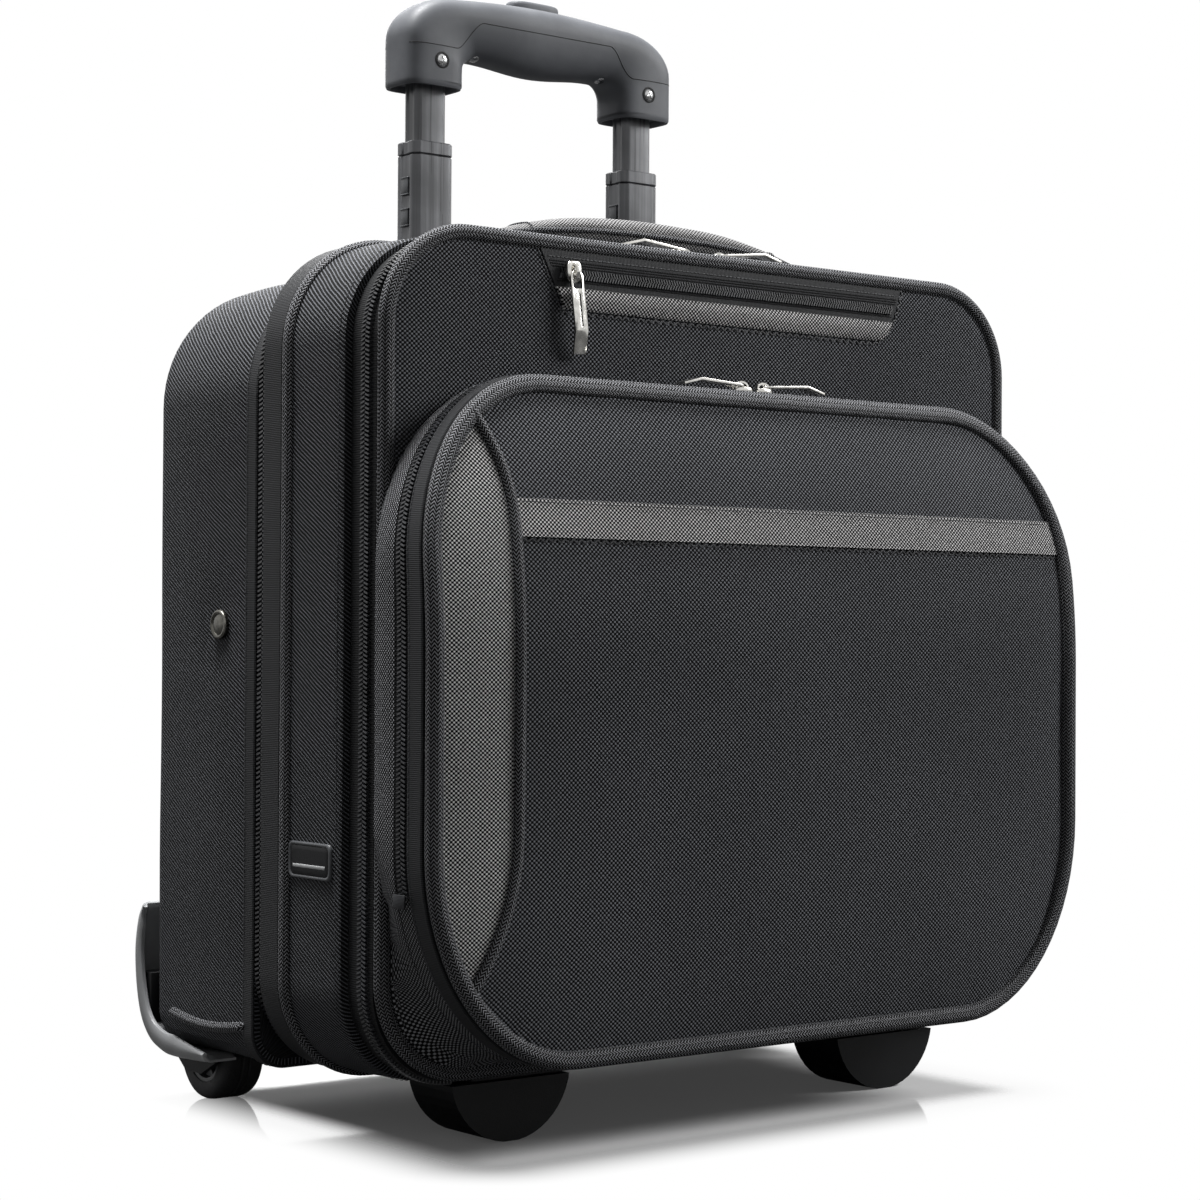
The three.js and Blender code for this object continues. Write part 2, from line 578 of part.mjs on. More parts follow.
// The same curve moved in by a distance, listed the other way.
function guardInner(distance) {
  const inner = [];
  for (let i = 0; i < guardOuter.length; i += 1) {
    const before = guardOuter[Math.max(i - 1, 0)];
    const after = guardOuter[Math.min(i + 1, guardOuter.length - 1)];
    const dy = after[0] - before[0];
    const dz = after[1] - before[1];
    const length = Math.hypot(dy, dz);
    inner.push([guardOuter[i][0] + (dz / length) * distance, guardOuter[i][1] - (dy / length) * distance]);
  }
  return inner.reverse();
}
const backStrip = [...guardOuter, ...guardInner(GUARD_T)];
const sideFlange = [...guardOuter, ...guardInner(GUARD_RIM)];
const LIP_DEPTH = 22;            // the guard stands clear of the case behind its upper lip
const GUARD_OUT_X = REAR_HALF_W + GAP + 3;
for (const [side, s] of SIDES) {
  const span = (a, b) => (s > 0 ? [a, b] : [-b, -a]);
  const strip = prismX(backStrip, ...span(GUARD_IN_X, GUARD_OUT_X));
  const flange = prismX(sideFlange, ...span(REAR_HALF_W + GAP, GUARD_OUT_X));
  const block = keep(
    prismX([...guardOuter, ...guardInner(GUARD_PROUD + 10)], ...span(GUARD_IN_X, GUARD_OUT_X)),
    box(...span(GUARD_IN_X, GUARD_OUT_X), 0, GUARD_REAR_Y + 5, BASE_Z, GUARD_TOP - LIP_DEPTH),
  );
  const opening = box(
    ...span(WHEEL_X - HOUSING_HALF_X - GAP, WHEEL_X + HOUSING_HALF_X + GAP),
    HOUSING_FRONT_Y - 30, GUARD_REAR_Y + 5, 0, 2 * WHEEL_R + WHEEL_CLEAR,
  );
  const clear = loft(rearSections(-GAP, REAR_SEAM_Y, REAR_Y + GAP));
  const overHousing = box(
    ...span(WHEEL_X - HOUSING_HALF_X - GAP, WHEEL_X + HOUSING_HALF_X + GAP),
    HOUSING_FRONT_Y - GAP, REAR_Y + GAP, 2 * WHEEL_R, HOUSING_TOP + GAP,
  );
  add(`corner_guard_${side}`, cut(join(strip, flange, block), opening, clear, overHousing), GUARD_PLASTIC);

  const x = s * WHEEL_X;
  const inside = HOUSING_HALF_X - HOUSING_WALL;
  add(`wheel_housing_${side}`, cut(
    prismX([
      [HOUSING_FRONT_Y, BASE_Z - 3.5], [WHEEL_Y - 8, WHEEL_R - CHEEK_DROP],
      [WHEEL_Y + 8, WHEEL_R - CHEEK_DROP], [REAR_Y, WHEEL_R - 4],
      [REAR_Y, HOUSING_TOP], [HOUSING_FRONT_Y, HOUSING_TOP],
    ], x - HOUSING_HALF_X, x + HOUSING_HALF_X),
    box(
      x - inside, x + inside, HOUSING_FRONT_Y + HOUSING_WALL, REAR_Y + 5,
      BASE_Z - 40, HOUSING_TOP - HOUSING_WALL,
    ),
    pin('x', AXLE_R + GAP, 60, x, WHEEL_Y, WHEEL_R),
  ), BLACK_PLASTIC);

  const half = WHEEL_W / 2;
  add(`wheel_${side}`, turnedX([
    [AXLE_R + GAP, -half + 1], [9, -half + 1], [10, -half + 4], [17, -half + 4], [18, -half],
    [WHEEL_R - 3, -half], [WHEEL_R, -half + 4], [WHEEL_R, half - 4], [WHEEL_R - 3, half],
    [18, half], [17, half - 4], [10, half - 4], [9, half - 1], [AXLE_R + GAP, half - 1],
  ], x, WHEEL_Y, WHEEL_R, 36), TYRE);
  add(`axle_${side}`, pin('x', AXLE_R, 2 * HOUSING_HALF_X - 0.4, x, WHEEL_Y, WHEEL_R), STEEL);
}

// ---------- front feet ----------
for (const [side, s] of SIDES) {
  const x = s * FOOT_X;
  const sole = pin('y', FOOT_R, FOOT_D, x, FOOT_FRONT_Y + FOOT_D / 2, FOOT_R, 48);
  const flat = box(x - 60, x + 60, FOOT_FRONT_Y - 5, FOOT_FRONT_Y + FOOT_D + 5, BASE_Z - GAP, 90);
  const pad = box(x - 60, x + 60, FOOT_FRONT_Y - 5, FOOT_FRONT_Y + FOOT_D + 5, -5, 0.25);
  const hollow = keep(
    pin('y', FOOT_R - FOOT_WALL, FOOT_D, x, FOOT_FRONT_Y + FOOT_D / 2 + FOOT_WALL, FOOT_R, 40),
    box(x - 60, x + 60, FOOT_FRONT_Y + FOOT_WALL, FOOT_FRONT_Y + FOOT_D + 20, -5, BASE_Z - GAP - 3),
  );
  const foot = cut(sole, flat, pad, hollow);
  foot.translate(0, 0, -0.25);
  add(`front_foot_${side}`, foot, BLACK_PLASTIC);
}

// ---------- front panel ----------
add('main_zip_front_half', cut(
  band(MAIN_ZIP, PANEL_SEAM_Y + GAP, MAIN_ZIP_Y - GAP / 2, 0, COIL_T), hingeGap,
), COIL);
const PANEL_FACE_Y = PANEL_SEAM_Y - GAP - PANEL_T;
add('front_panel', prism(
  outline(PANEL, PIPING_W + GAP), PANEL_FACE_Y, PANEL_SEAM_Y - GAP,
), BALLISTIC);
add('front_piping', band(
  PANEL, PANEL_FACE_Y - PIPING_PROUD, PANEL_SEAM_Y - GAP, 0, PIPING_W, 1.5,
), PIPING);

const TRIM_Y0 = PANEL_FACE_Y - GAP - TRIM_T;
const TRIM_Y1 = PANEL_FACE_Y - GAP;
add('organiser_zip', prism([
  [ORGANISER_X0, ORGANISER_Z - ORGANISER_H / 2], [ORGANISER_X1 - 8, ORGANISER_Z - ORGANISER_H / 2],
  [ORGANISER_X1 + 2, ORGANISER_Z - ORGANISER_H / 2 + 4], [ORGANISER_X1 + 7, ORGANISER_Z + ORGANISER_H / 2],
  [ORGANISER_X0 - 14, ORGANISER_Z + ORGANISER_H / 2],
], TRIM_Y0, TRIM_Y1), COIL);
const STRIP_TOP = ORGANISER_Z - ORGANISER_H / 2 - GAP;
add('organiser_strip', prism([
  [ORGANISER_X0 + 6, STRIP_TOP - STRIP_H], [ORGANISER_X1 - 4, STRIP_TOP - STRIP_H],
  [ORGANISER_X1 + 2, STRIP_TOP], [ORGANISER_X0, STRIP_TOP],
], TRIM_Y0, TRIM_Y1), GREY_FABRIC);

// ---------- front pocket ----------
// The pocket gets shallower towards its top, in straight steps between these heights.
const TAPER_STEPS = 4;
const TAPER_LEVELS = [];
for (let i = 0; i <= TAPER_STEPS; i += 1) {
  TAPER_LEVELS.push(POCKET_TAPER_Z + ((POCKET_TOP - POCKET_TAPER_Z) * i) / TAPER_STEPS);
}
function taperShare(z) {
  const t = Math.min(1, Math.max(0, (z - POCKET_TAPER_Z) / (POCKET_TOP - POCKET_TAPER_Z))) * TAPER_STEPS;
  const step = Math.min(Math.floor(t), TAPER_STEPS - 1);
  const before = (step / TAPER_STEPS) ** 2;
  const after = ((step + 1) / TAPER_STEPS) ** 2;
  return 1 - POCKET_TAPER * (before + (after - before) * (t - step));
}
function taperY(y, z) {
  return y < PANEL_FACE_Y ? PANEL_FACE_Y + (y - PANEL_FACE_Y) * taperShare(z) : y;
}
// Splits the triangles that cross a height, so that the surface can bend there.
function sliceAt(points, triangles, level) {
  const made = new Map();
  const crossing = (a, b) => {
    const key = a < b ? `${a},${b}` : `${b},${a}`;
    if (!made.has(key)) {
      const [p, q] = a < b ? [points[a], points[b]] : [points[b], points[a]];
      const t = (level - p[2]) / (q[2] - p[2]);
      points.push([p[0] + (q[0] - p[0]) * t, p[1] + (q[1] - p[1]) * t, level]);
      made.set(key, points.length - 1);
    }
    return made.get(key);
  };
  const sliced = [];
  for (const triangle of triangles) {
    const sides = triangle.map((i) => {
      const rise = points[i][2] - level;
      return Math.abs(rise) < 1e-3 ? 0 : Math.sign(rise);
    });
    if (!sides.includes(1) || !sides.includes(-1)) {
      sliced.push(triangle);
      continue;
    }
    const onLevel = sides.indexOf(0);
    const lone = sides.findIndex((side) => sides.filter((other) => other === side).length === 1);
    const first = onLevel >= 0 ? onLevel : lone;
    const [a, b, c] = [0, 1, 2].map((k) => triangle[(first + k) % 3]);
    if (onLevel >= 0) {
      const m = crossing(b, c);
      sliced.push([a, b, m], [a, m, c]);
    } else {
      const m = crossing(a, b);
      const n = crossing(a, c);
      sliced.push([a, m, n], [m, b, c], [m, c, n]);
    }
  }
  return sliced;
}
function taper(geometry) {
  const bare = geometry.clone();
  bare.deleteAttribute('normal');
  bare.deleteAttribute('uv');
  const welded = mergeVertices(bare, 1e-4);
  const position = welded.attributes.position;
  const points = [];
  for (let i = 0; i < position.count; i += 1) {
    points.push([position.getX(i), position.getY(i), position.getZ(i)]);
  }
  let triangles = [];
  for (let t = 0; t < welded.index.count; t += 3) {
    triangles.push([0, 1, 2].map((k) => welded.index.getX(t + k)));
  }
  for (const level of TAPER_LEVELS) triangles = sliceAt(points, triangles, level);
  const tapered = new THREE.BufferGeometry();
  const bent = points.flatMap(([x, y, z]) => [x, taperY(y, z), z]);
  tapered.setAttribute('position', new THREE.Float32BufferAttribute(bent, 3));
  tapered.setIndex(triangles.flat());
  tapered.computeVertexNormals();
  return tapered;
}
const POCKET_BACK_Y = PANEL_FACE_Y - PIPING_PROUD - GAP;
const gussetOuter = loft([
  { y: POCKET_ZIP_Y + GAP / 2, points: outline(POCKET) },
  { y: POCKET_ZIP_Y + POCKET_BEND, points: outline(POCKET) },
  { y: POCKET_BACK_Y, points: outline(POCKET, POCKET_REAR_INSET) },
]);
const gussetInner = loft([
  { y: POCKET_ZIP_Y - 5, points: outline(POCKET, POCKET_T) },
  { y: POCKET_ZIP_Y + POCKET_BEND, points: outline(POCKET, POCKET_T) },
  { y: POCKET_BACK_Y + 5, points: outline(POCKET, POCKET_REAR_INSET + POCKET_T) },
]);
add('pocket_gusset', taper(cut(gussetOuter, gussetInner)), BALLISTIC);

const POCKET_COIL_Y = POCKET_ZIP_Y - 5.5;
const belowZip = box(-300, 300, POCKET_COIL_Y - 20, POCKET_ZIP_Y + 5, 0, POCKET_ZIP_END_Z);
add('pocket_zip_front_half', taper(cut(
  band(POCKET, POCKET_COIL_Y, POCKET_ZIP_Y - GAP / 2, 0.5, POCKET_T), belowZip,
)), COIL);
const lowerGusset = keep(
  band(POCKET, POCKET_COIL_Y - 5, POCKET_ZIP_Y - GAP / 2, 0.5, POCKET_T + 0.5),
  box(-300, 300, POCKET_COIL_Y - 20, POCKET_ZIP_Y + 5, 0, POCKET_ZIP_END_Z - GAP),
);
const pocketWall = band(POCKET, POCKET_FACE_Y, POCKET_COIL_Y - GAP, PIPING_W / 2, PIPING_W + POCKET_T);
const pocketPlate = prism(outline(POCKET, PIPING_W + GAP), POCKET_PLATE_Y, POCKET_FACE_Y + 0.5);
add('pocket_front', taper(join(
  pocketWall, lowerGusset, pocketPlate,
  band(POCKET, POCKET_COIL_Y - 5, POCKET_COIL_Y - GAP, 0.5, PIPING_W + POCKET_T),
)), BALLISTIC);
add('pocket_piping', taper(band(
  POCKET, POCKET_PIPING_FRONT_Y, POCKET_FACE_Y - GAP, 0, PIPING_W, 1.5,
)), PIPING);

const POCKET_TRIM_Y0 = POCKET_PLATE_Y - GAP - TRIM_T;
const POCKET_TRIM_Y1 = POCKET_PLATE_Y - GAP;
const lens = [];
const LENS_MID_Z = (LENS_TOP_Z + LENS_LOW_Z) / 2;
const LENS_H = LENS_TOP_Z - LENS_LOW_Z;
const lensBow = (z) => Math.cos(((z - LENS_MID_Z) / LENS_H) * Math.PI);
for (let i = 0; i <= 12; i += 1) {
  const z = LENS_LOW_Z + (LENS_H * i) / 12;
  lens.push([LENS_X + LENS_INNER * lensBow(z), z]);
}
for (let i = 11; i >= 1; i -= 1) {
  const z = LENS_LOW_Z + (LENS_H * i) / 12;
  lens.push([LENS_X - 2 - LENS_OUTER * Math.sqrt(lensBow(z)), z]);
}
const insidePiping = prism(outline(POCKET, PIPING_W + GAP), POCKET_TRIM_Y0 - 5, POCKET_TRIM_Y1 + 5);
add('pocket_insert', taper(keep(
  prism(lens, POCKET_TRIM_Y0, POCKET_TRIM_Y1), insidePiping,
)), GREY_FABRIC);
const bandPlate = prism([
  [BAND_X0, BAND_Z0], [POCKET_HALF_W - PIPING_W - 5, BAND_Z0],
  [POCKET_HALF_W - PIPING_W - 8, BAND_Z1], [BAND_X0 - 4, BAND_Z1],
], POCKET_TRIM_Y0, POCKET_TRIM_Y1);
add('pocket_band', taper(bandPlate), GREY_FABRIC);

// ---------- zip sliders and pulls ----------
// Drawn lying on a zip that runs along local X, with the zip's surface at local z = 0.
const BAR_Z = 3.5;
function sliderBody() {
  return cut(
    join(box(-5.5, 5.5, -4.5, 4.5, 0, 2), box(-4.2, 4.2, -0.9, 0.9, 1.5, 6.2)),
    box(-2.6, 2.6, -2, 2, 2.2, 4.9),
  );
}
function pullBody(length) {
  const z0 = BAR_Z - 0.7;
  const z1 = BAR_Z + 0.7;
  const ring = cut(box(-0.7, 9, -3.9, 3.9, z0, z1), box(0.7, 7.6, -2.3, 2.3, z0 - 1, z1 + 1));
  const bar = cut(box(8, length, -3.4, 3.4, z0, z1), box(13, length - 6, -1, 1, z0 - 1, z1 + 1));
  return join(ring, bar);
}
function place(geometry, ex, ez, at) {
  const x = new THREE.Vector3(...ex);
  const z = new THREE.Vector3(...ez);
  const y = new THREE.Vector3().crossVectors(z, x);
  const matrix = new THREE.Matrix4().makeBasis(x, y, z).setPosition(...at);
  return geometry.clone().applyMatrix4(matrix);
}
function addZipPair(name, xs, y, z) {
  SIDES.forEach(([side, s], i) => {
    const at = [xs[i], y, z];
    add(`${name}_slider_${side}`, place(sliderBody(), [s, 0, 0], [0, 0, 1], at), NICKEL);
    add(`${name}_pull_${side}`, place(pullBody(PULL_LEN), [s, 0, 0], [0, 0, 1], at), NICKEL);
  });
}
addZipPair('main', MAIN_SLIDERS_X, MAIN_ZIP_Y, CASE_TOP + GAP);
addZipPair('pocket', POCKET_SLIDERS_X, taperY(POCKET_ZIP_Y, POCKET_TOP), POCKET_TOP + GAP);
const organiserAt = [ORGANISER_X0 + 4, TRIM_Y0 - GAP, ORGANISER_Z];
add('organiser_slider', place(sliderBody(), [0, 0, -1], [0, -1, 0], organiserAt), NICKEL);
add('organiser_pull', place(pullBody(ORGANISER_PULL_LEN), [0, 0, -1], [0, -1, 0], organiserAt), NICKEL);

// ---------- carry handle ----------
const arch = [];
const ARCH_STEPS = 14;
for (let i = 0; i <= ARCH_STEPS; i += 1) {
  const x = -HANDLE_HALF_W + (2 * HANDLE_HALF_W * i) / ARCH_STEPS;
  const rise = Math.sqrt(Math.max(0, 1 - Math.abs(x / HANDLE_HALF_W) ** 2.2));
  const low = HANDLE_END_Z + (HANDLE_TOP - HANDLE_T - HANDLE_END_Z) * rise;
  arch.push([x, low, low + HANDLE_T - 4 * (1 - rise)]);
}
add('carry_handle', prism([
  ...arch.map(([x, low]) => [x, low]), ...arch.map(([x, , top]) => [x, top]).reverse(),
], HANDLE_Y - HANDLE_D / 2, HANDLE_Y + HANDLE_D / 2), GREY_FABRIC);
for (const [side, s] of SIDES) {
  const inner = HANDLE_HALF_W + GAP;
  const span = (a, b) => (s > 0 ? [a, b] : [-b, -a]);
  add(`handle_anchor_${side}`, join(
    box(
      ...span(inner, inner + ANCHOR_LEN), HANDLE_Y - HANDLE_D / 2, HANDLE_Y + HANDLE_D / 2,
      CASE_TOP + GAP + MID_PIPING_T + GAP, CASE_TOP + GAP + MID_PIPING_T + 2,
    ),
    box(
      ...span(inner, inner + 9), HANDLE_Y - 7, HANDLE_Y + 7,
      CASE_TOP + GAP + MID_PIPING_T + GAP, HANDLE_END_Z + 4,
    ),
    box(
      ...span(inner, inner + ANCHOR_LEN - 2), HANDLE_Y - HANDLE_D / 2, MID_PIPING_Y - GAP,
      CASE_TOP + GAP, CASE_TOP + GAP + MID_PIPING_T + 1,
    ),
  ), BALLISTIC);
}

// ---------- side label and rivets ----------
add('side_label', box(
  -CASE_HALF_W - GAP - 2, -CASE_HALF_W - GAP, LABEL_Y0, LABEL_Y0 + LABEL_LEN, LABEL_Z0, LABEL_Z0 + LABEL_H,
), BLACK_PLASTIC);
for (const [side, s] of SIDES) {
  add(`rivet_${side}`, join(
    pin('x', RIVET_R, 2.4, s * (REAR_HALF_W + GAP + 1.2), RIVET_Y, RIVET_Z, 28),
    pin('x', 2.5, REAR_T + 1, s * (REAR_HALF_W - (REAR_T - 1) / 2), RIVET_Y, RIVET_Z, 12),
  ), NICKEL);
}

export default group;
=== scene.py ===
"""The looks of a pilot rolling flight case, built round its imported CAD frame. Metres, +Z up, the front faces -Y."""
import math
import bmesh
import bpy
from mathutils import Matrix, Vector, noise
from mathutils.bvhtree import BVHTree
from mathutils.geometry import tessellate_polygon


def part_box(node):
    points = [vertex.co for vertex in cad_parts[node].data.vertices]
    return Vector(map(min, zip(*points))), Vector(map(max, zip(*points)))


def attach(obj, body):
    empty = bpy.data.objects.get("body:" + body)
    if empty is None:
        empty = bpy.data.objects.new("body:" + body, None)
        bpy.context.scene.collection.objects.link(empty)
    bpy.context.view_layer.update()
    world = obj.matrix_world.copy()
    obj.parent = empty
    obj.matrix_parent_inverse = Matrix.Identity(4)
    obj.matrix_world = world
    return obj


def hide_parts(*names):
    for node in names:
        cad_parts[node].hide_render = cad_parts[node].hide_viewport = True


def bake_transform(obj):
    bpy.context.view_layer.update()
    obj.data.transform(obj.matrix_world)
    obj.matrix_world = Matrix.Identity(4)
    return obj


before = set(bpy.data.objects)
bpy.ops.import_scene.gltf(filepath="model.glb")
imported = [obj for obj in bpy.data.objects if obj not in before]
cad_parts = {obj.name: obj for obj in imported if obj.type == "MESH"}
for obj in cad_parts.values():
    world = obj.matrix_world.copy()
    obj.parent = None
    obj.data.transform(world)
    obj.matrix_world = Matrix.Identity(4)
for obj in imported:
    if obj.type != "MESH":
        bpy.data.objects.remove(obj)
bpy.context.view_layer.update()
TAU = 2 * math.pi
MM = 0.001
SIDES = (("left", -1), ("right", 1))


# ---------- small helpers ----------
def lerp(a, b, t):
    return a + (b - a) * t


def share_of(value, start, end):
    """How far a value lies from start to end, held between 0 and 1."""
    return min(1.0, max(0.0, (value - start) / (end - start)))


def lengths(points, n=2):
    """Distances along a line of points and back to its start, from their first n coordinates."""
    runs = [0.0]
    for a, b in zip(points, points[1:] + points[:1]):
        runs.append(runs[-1] + math.dist(a[:n], b[:n]))
    return runs


def superellipse(count, power_u, power_v):
    """Cosine, sine, u and v at even angles round a rounded box of half sizes 1."""
    for k in range(count):
        c, s = math.cos(TAU * k / count), math.sin(TAU * k / count)
        yield c, s, math.copysign(abs(c) ** power_u, c), math.copysign(abs(s) ** power_v, s)


def quarter(count, first=0):
    """1 - cosine and sine at even angles of a quarter turn."""
    for k in range(first, count + 1):
        a = math.pi / 2 * k / count
        yield 1 - math.cos(a), math.sin(a)


def middle_of(node):
    lo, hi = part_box(node)
    return (lo + hi) / 2


# ---------- materials ----------
CLOTH_SHEEN, CLOTH_SHINE = 0.01, 0.08


def rgb(code):
    """The linear colour of an sRGB hex code."""
    parts = [int(code[i:i + 2], 16) / 255 for i in (0, 2, 4)]
    return [p / 12.92 if p < 0.04045 else ((p + 0.055) / 1.055) ** 2.4 for p in parts] + [1.0]


class Net:
    """A node material, with short ways to add nodes to it."""

    def __init__(self, name, colour, rough, **sockets):
        self.mat = bpy.data.materials.new(name)
        self.mat.use_nodes = True
        self.tree = self.mat.node_tree
        self.bsdf = self.tree.nodes["Principled BSDF"]
        self.bsdf.inputs["Base Color"].default_value = rgb(colour)
        self.bsdf.inputs["Roughness"].default_value = rough
        for key, value in sockets.items():
            self.bsdf.inputs[key.replace("_", " ")].default_value = value

    def node(self, kind, **settings):
        made = self.tree.nodes.new(kind)
        for key, value in settings.items():
            setattr(made, key, value)
        return made

    def feed(self, socket, value):
        """Links a socket to another one, or sets its constant."""
        if isinstance(value, bpy.types.NodeSocket):
            self.tree.links.new(value, socket)
        else:
            socket.default_value = value

    def math(self, operation, *values):
        made = self.node("ShaderNodeMath", operation=operation)
        for socket, value in zip(made.inputs, values):
            self.feed(socket, value)
        return made.outputs[0]

    def times(self, a, b):
        return self.math("MULTIPLY", a, b)

    def wave(self, value, pitch):
        """A cosine wave along a coordinate, one to each pitch."""
        return self.math("COSINE", self.times(value, TAU / pitch))

    def space(self, source):
        return self.node("ShaderNodeTexCoord").outputs[source]

    def split(self, vector):
        made = self.node("ShaderNodeSeparateXYZ")
        self.feed(made.inputs[0], vector)
        return made.outputs

    def join(self, x, y, z=0.0):
        made = self.node("ShaderNodeCombineXYZ")
        for socket, value in zip(made.inputs, (x, y, z)):
            self.feed(socket, value)
        return made.outputs[0]

    def noise(self, vector, scale, detail=2.0, rough=0.5):
        made = self.node("ShaderNodeTexNoise")
        self.feed(made.inputs["Vector"], vector)
        made.inputs["Scale"].default_value = scale
        made.inputs["Detail"].default_value = detail
        made.inputs["Roughness"].default_value = rough
        return made.outputs["Fac"]

    def remap(self, value, a, b, c=0.0, d=1.0, smooth=True):
        """Carries a to b onto c to d, clamped."""
        made = self.node("ShaderNodeMapRange")
        if smooth:
            made.interpolation_type = "SMOOTHSTEP"
        for key, item in zip(("Value", "From Min", "From Max", "To Min", "To Max"), (value, a, b, c, d)):
            self.feed(made.inputs[key], item)
        return made.outputs["Result"]

    def mix(self, share, first, second):
        made = self.node("ShaderNodeMix", data_type="RGBA")
        colours = [s for s in made.inputs if s.type == "RGBA"]
        self.feed(made.inputs[0], share)
        self.feed(colours[0], rgb(first) if isinstance(first, str) else first)
        self.feed(colours[1], rgb(second) if isinstance(second, str) else second)
        return [s for s in made.outputs if s.type == "RGBA"][0]

    def colour(self, value):
        self.feed(self.bsdf.inputs["Base Color"], value)

    def rough(self, value):
        self.feed(self.bsdf.inputs["Roughness"], value)

    def bump(self, height, distance):
        made = self.node("ShaderNodeBump")
        made.inputs["Distance"].default_value = distance
        self.feed(made.inputs["Height"], height)
        self.feed(self.bsdf.inputs["Normal"], made.outputs["Normal"])


def wavy(net, pitch):
    """UV coordinates in metres whose threads wander a little, as woven ones do."""
    uv = net.space("UV")
    u, v, _ = net.split(uv)
    shift = net.times(net.math("SUBTRACT", net.noise(uv, 60.0, 1.0), 0.5), pitch * 0.4)
    return uv, net.math("ADD", u, shift), net.math("ADD", v, shift)


def dotted(name, dark, light, pitch_u, pitch_v, low=-0.8, high=0.5, rough=0.72, depth=0.0004):
    """Heavy nylon woven so that small dots stand in a staggered lattice."""
    net = Net(name, light, rough, Sheen_Weight=CLOTH_SHEEN, Sheen_Roughness=0.45, Specular_IOR_Level=0.07)
    uv, u, v = wavy(net, pitch_u)
    height = net.remap(net.times(net.wave(u, pitch_u), net.wave(v, pitch_v)), low, high)
    thread = net.noise(net.join(net.times(u, 900), net.times(v, 900)), 1.0, 1.0)
    tone = net.times(height, net.remap(thread, 0.2, 0.8, 0.72, 1.12, False))
    patchy = net.remap(net.noise(uv, 7.0, 3.0), 0.25, 0.75, 0.86, 1.08)
    net.colour(net.mix(net.times(tone, patchy), dark, light))
    net.rough(net.remap(height, 0.0, 1.0, rough + 0.12, rough - 0.12, False))
    net.bump(height, depth)
    return net.mat


def twill(name, dark, light, pitch, slope, rough=0.6, depth=0.0004):
    """Fine diagonal ribs with a faint cross weave."""
    net = Net(name, light, rough, Sheen_Weight=CLOTH_SHEEN, Sheen_Roughness=0.4, Specular_IOR_Level=CLOTH_SHINE)
    uv, u, v = wavy(net, pitch)
    run = net.math("ADD", net.times(u, TAU / pitch), net.times(v, TAU * slope / pitch))
    rib = net.remap(net.math("COSINE", run), -0.25, 0.95)
    cross = net.math("SUBTRACT", net.times(u, TAU / (pitch * 0.62)), net.times(v, TAU / (pitch * 0.8)))
    height = net.times(rib, net.remap(net.math("COSINE", cross), -1.0, 1.0, 0.55, 1.0, False))
    patchy = net.remap(net.noise(uv, 6.0, 3.0), 0.25, 0.75, 0.85, 1.1)
    net.colour(net.mix(net.times(height, patchy), dark, light))
    net.bump(height, depth)
    return net.mat


def braid(name, dark, light, pitch, width, rough=0.6, depth=0.0005):
    """Round braid: strands slant one way on each side of its middle, in chevrons."""
    net = Net(name, light, rough, Sheen_Weight=CLOTH_SHEEN, Sheen_Roughness=0.4, Specular_IOR_Level=CLOTH_SHINE)
    uv, u, v = wavy(net, pitch)
    cell = net.math("MODULO", net.math("ADD", v, 1.0), width)
    folded = net.math("ABSOLUTE", net.math("SUBTRACT", cell, width / 2))
    run = net.math("ADD", net.times(u, TAU / pitch), net.times(folded, TAU / (pitch * 0.75)))
    strand = net.remap(net.math("COSINE", run), 0.0, 0.95)
    height = net.times(strand, net.remap(folded, 0.0, width * 0.12, 0.35, 1.0))
    net.colour(net.mix(height, dark, light))
    net.bump(height, depth)
    return net.mat


def ribbed(name, dark, light, pitch, rough=0.55, depth=0.00012):
    """Smooth ribbon with faint ribs across it."""
    net = Net(name, light, rough, Sheen_Weight=0.05, Sheen_Roughness=0.4, Specular_IOR_Level=0.16)
    uv, u, v = wavy(net, pitch)
    rib = net.remap(net.wave(u, pitch), -1.0, 1.0)
    height = net.times(rib, net.remap(net.wave(v, pitch * 0.7), -1.0, 1.0, 0.7, 1.0))
    patchy = net.remap(net.noise(uv, 9.0, 3.0), 0.25, 0.75, 0.75, 1.0)
    net.colour(net.mix(net.times(height, patchy), dark, light))
    net.bump(height, depth)
    return net.mat


def moulded(name, dark, light, rough, grain, depth, wear=None, **sockets):
    """Moulded or painted surface with a fine grain and slow changes of tone."""
    net = Net(name, light, rough, **sockets)
    place = net.space("Object")
    slow = net.noise(place, 22.0, 4.0, 0.6)
    fine = net.noise(place, grain, 2.0, 0.6)
    base = net.mix(net.remap(slow, 0.3, 0.7), dark, light)
    if wear:
        edge = net.node("ShaderNodeNewGeometry").outputs["Pointiness"]
        base = net.mix(net.remap(edge, 0.53, 0.62, 0.0, 0.8), base, wear)
    net.colour(base)
    net.rough(net.remap(fine, 0.3, 0.7, rough - 0.06, rough + 0.08, False))
    net.bump(fine, depth)
    return net.mat


def brushed(name, dark, light, rough, stretch, metal=1.0, **sockets):
    """Metal, or metal paint, with fine lines drawn along one direction."""
    net = Net(name, light, rough, Metallic=metal, **sockets)
    lines = net.join(*[net.times(c, s) for c, s in zip(net.split(net.space("Object")), stretch)])
    grain = net.noise(lines, 1.0, 3.0, 0.6)
    slow = net.noise(net.space("Object"), 30.0, 3.0)
    net.colour(net.mix(net.remap(net.times(grain, slow), 0.12, 0.4), dark, light))
    net.rough(net.remap(grain, 0.3, 0.7, rough - 0.05, rough + 0.1, False))
    net.bump(grain, 0.00003)
    return net.mat


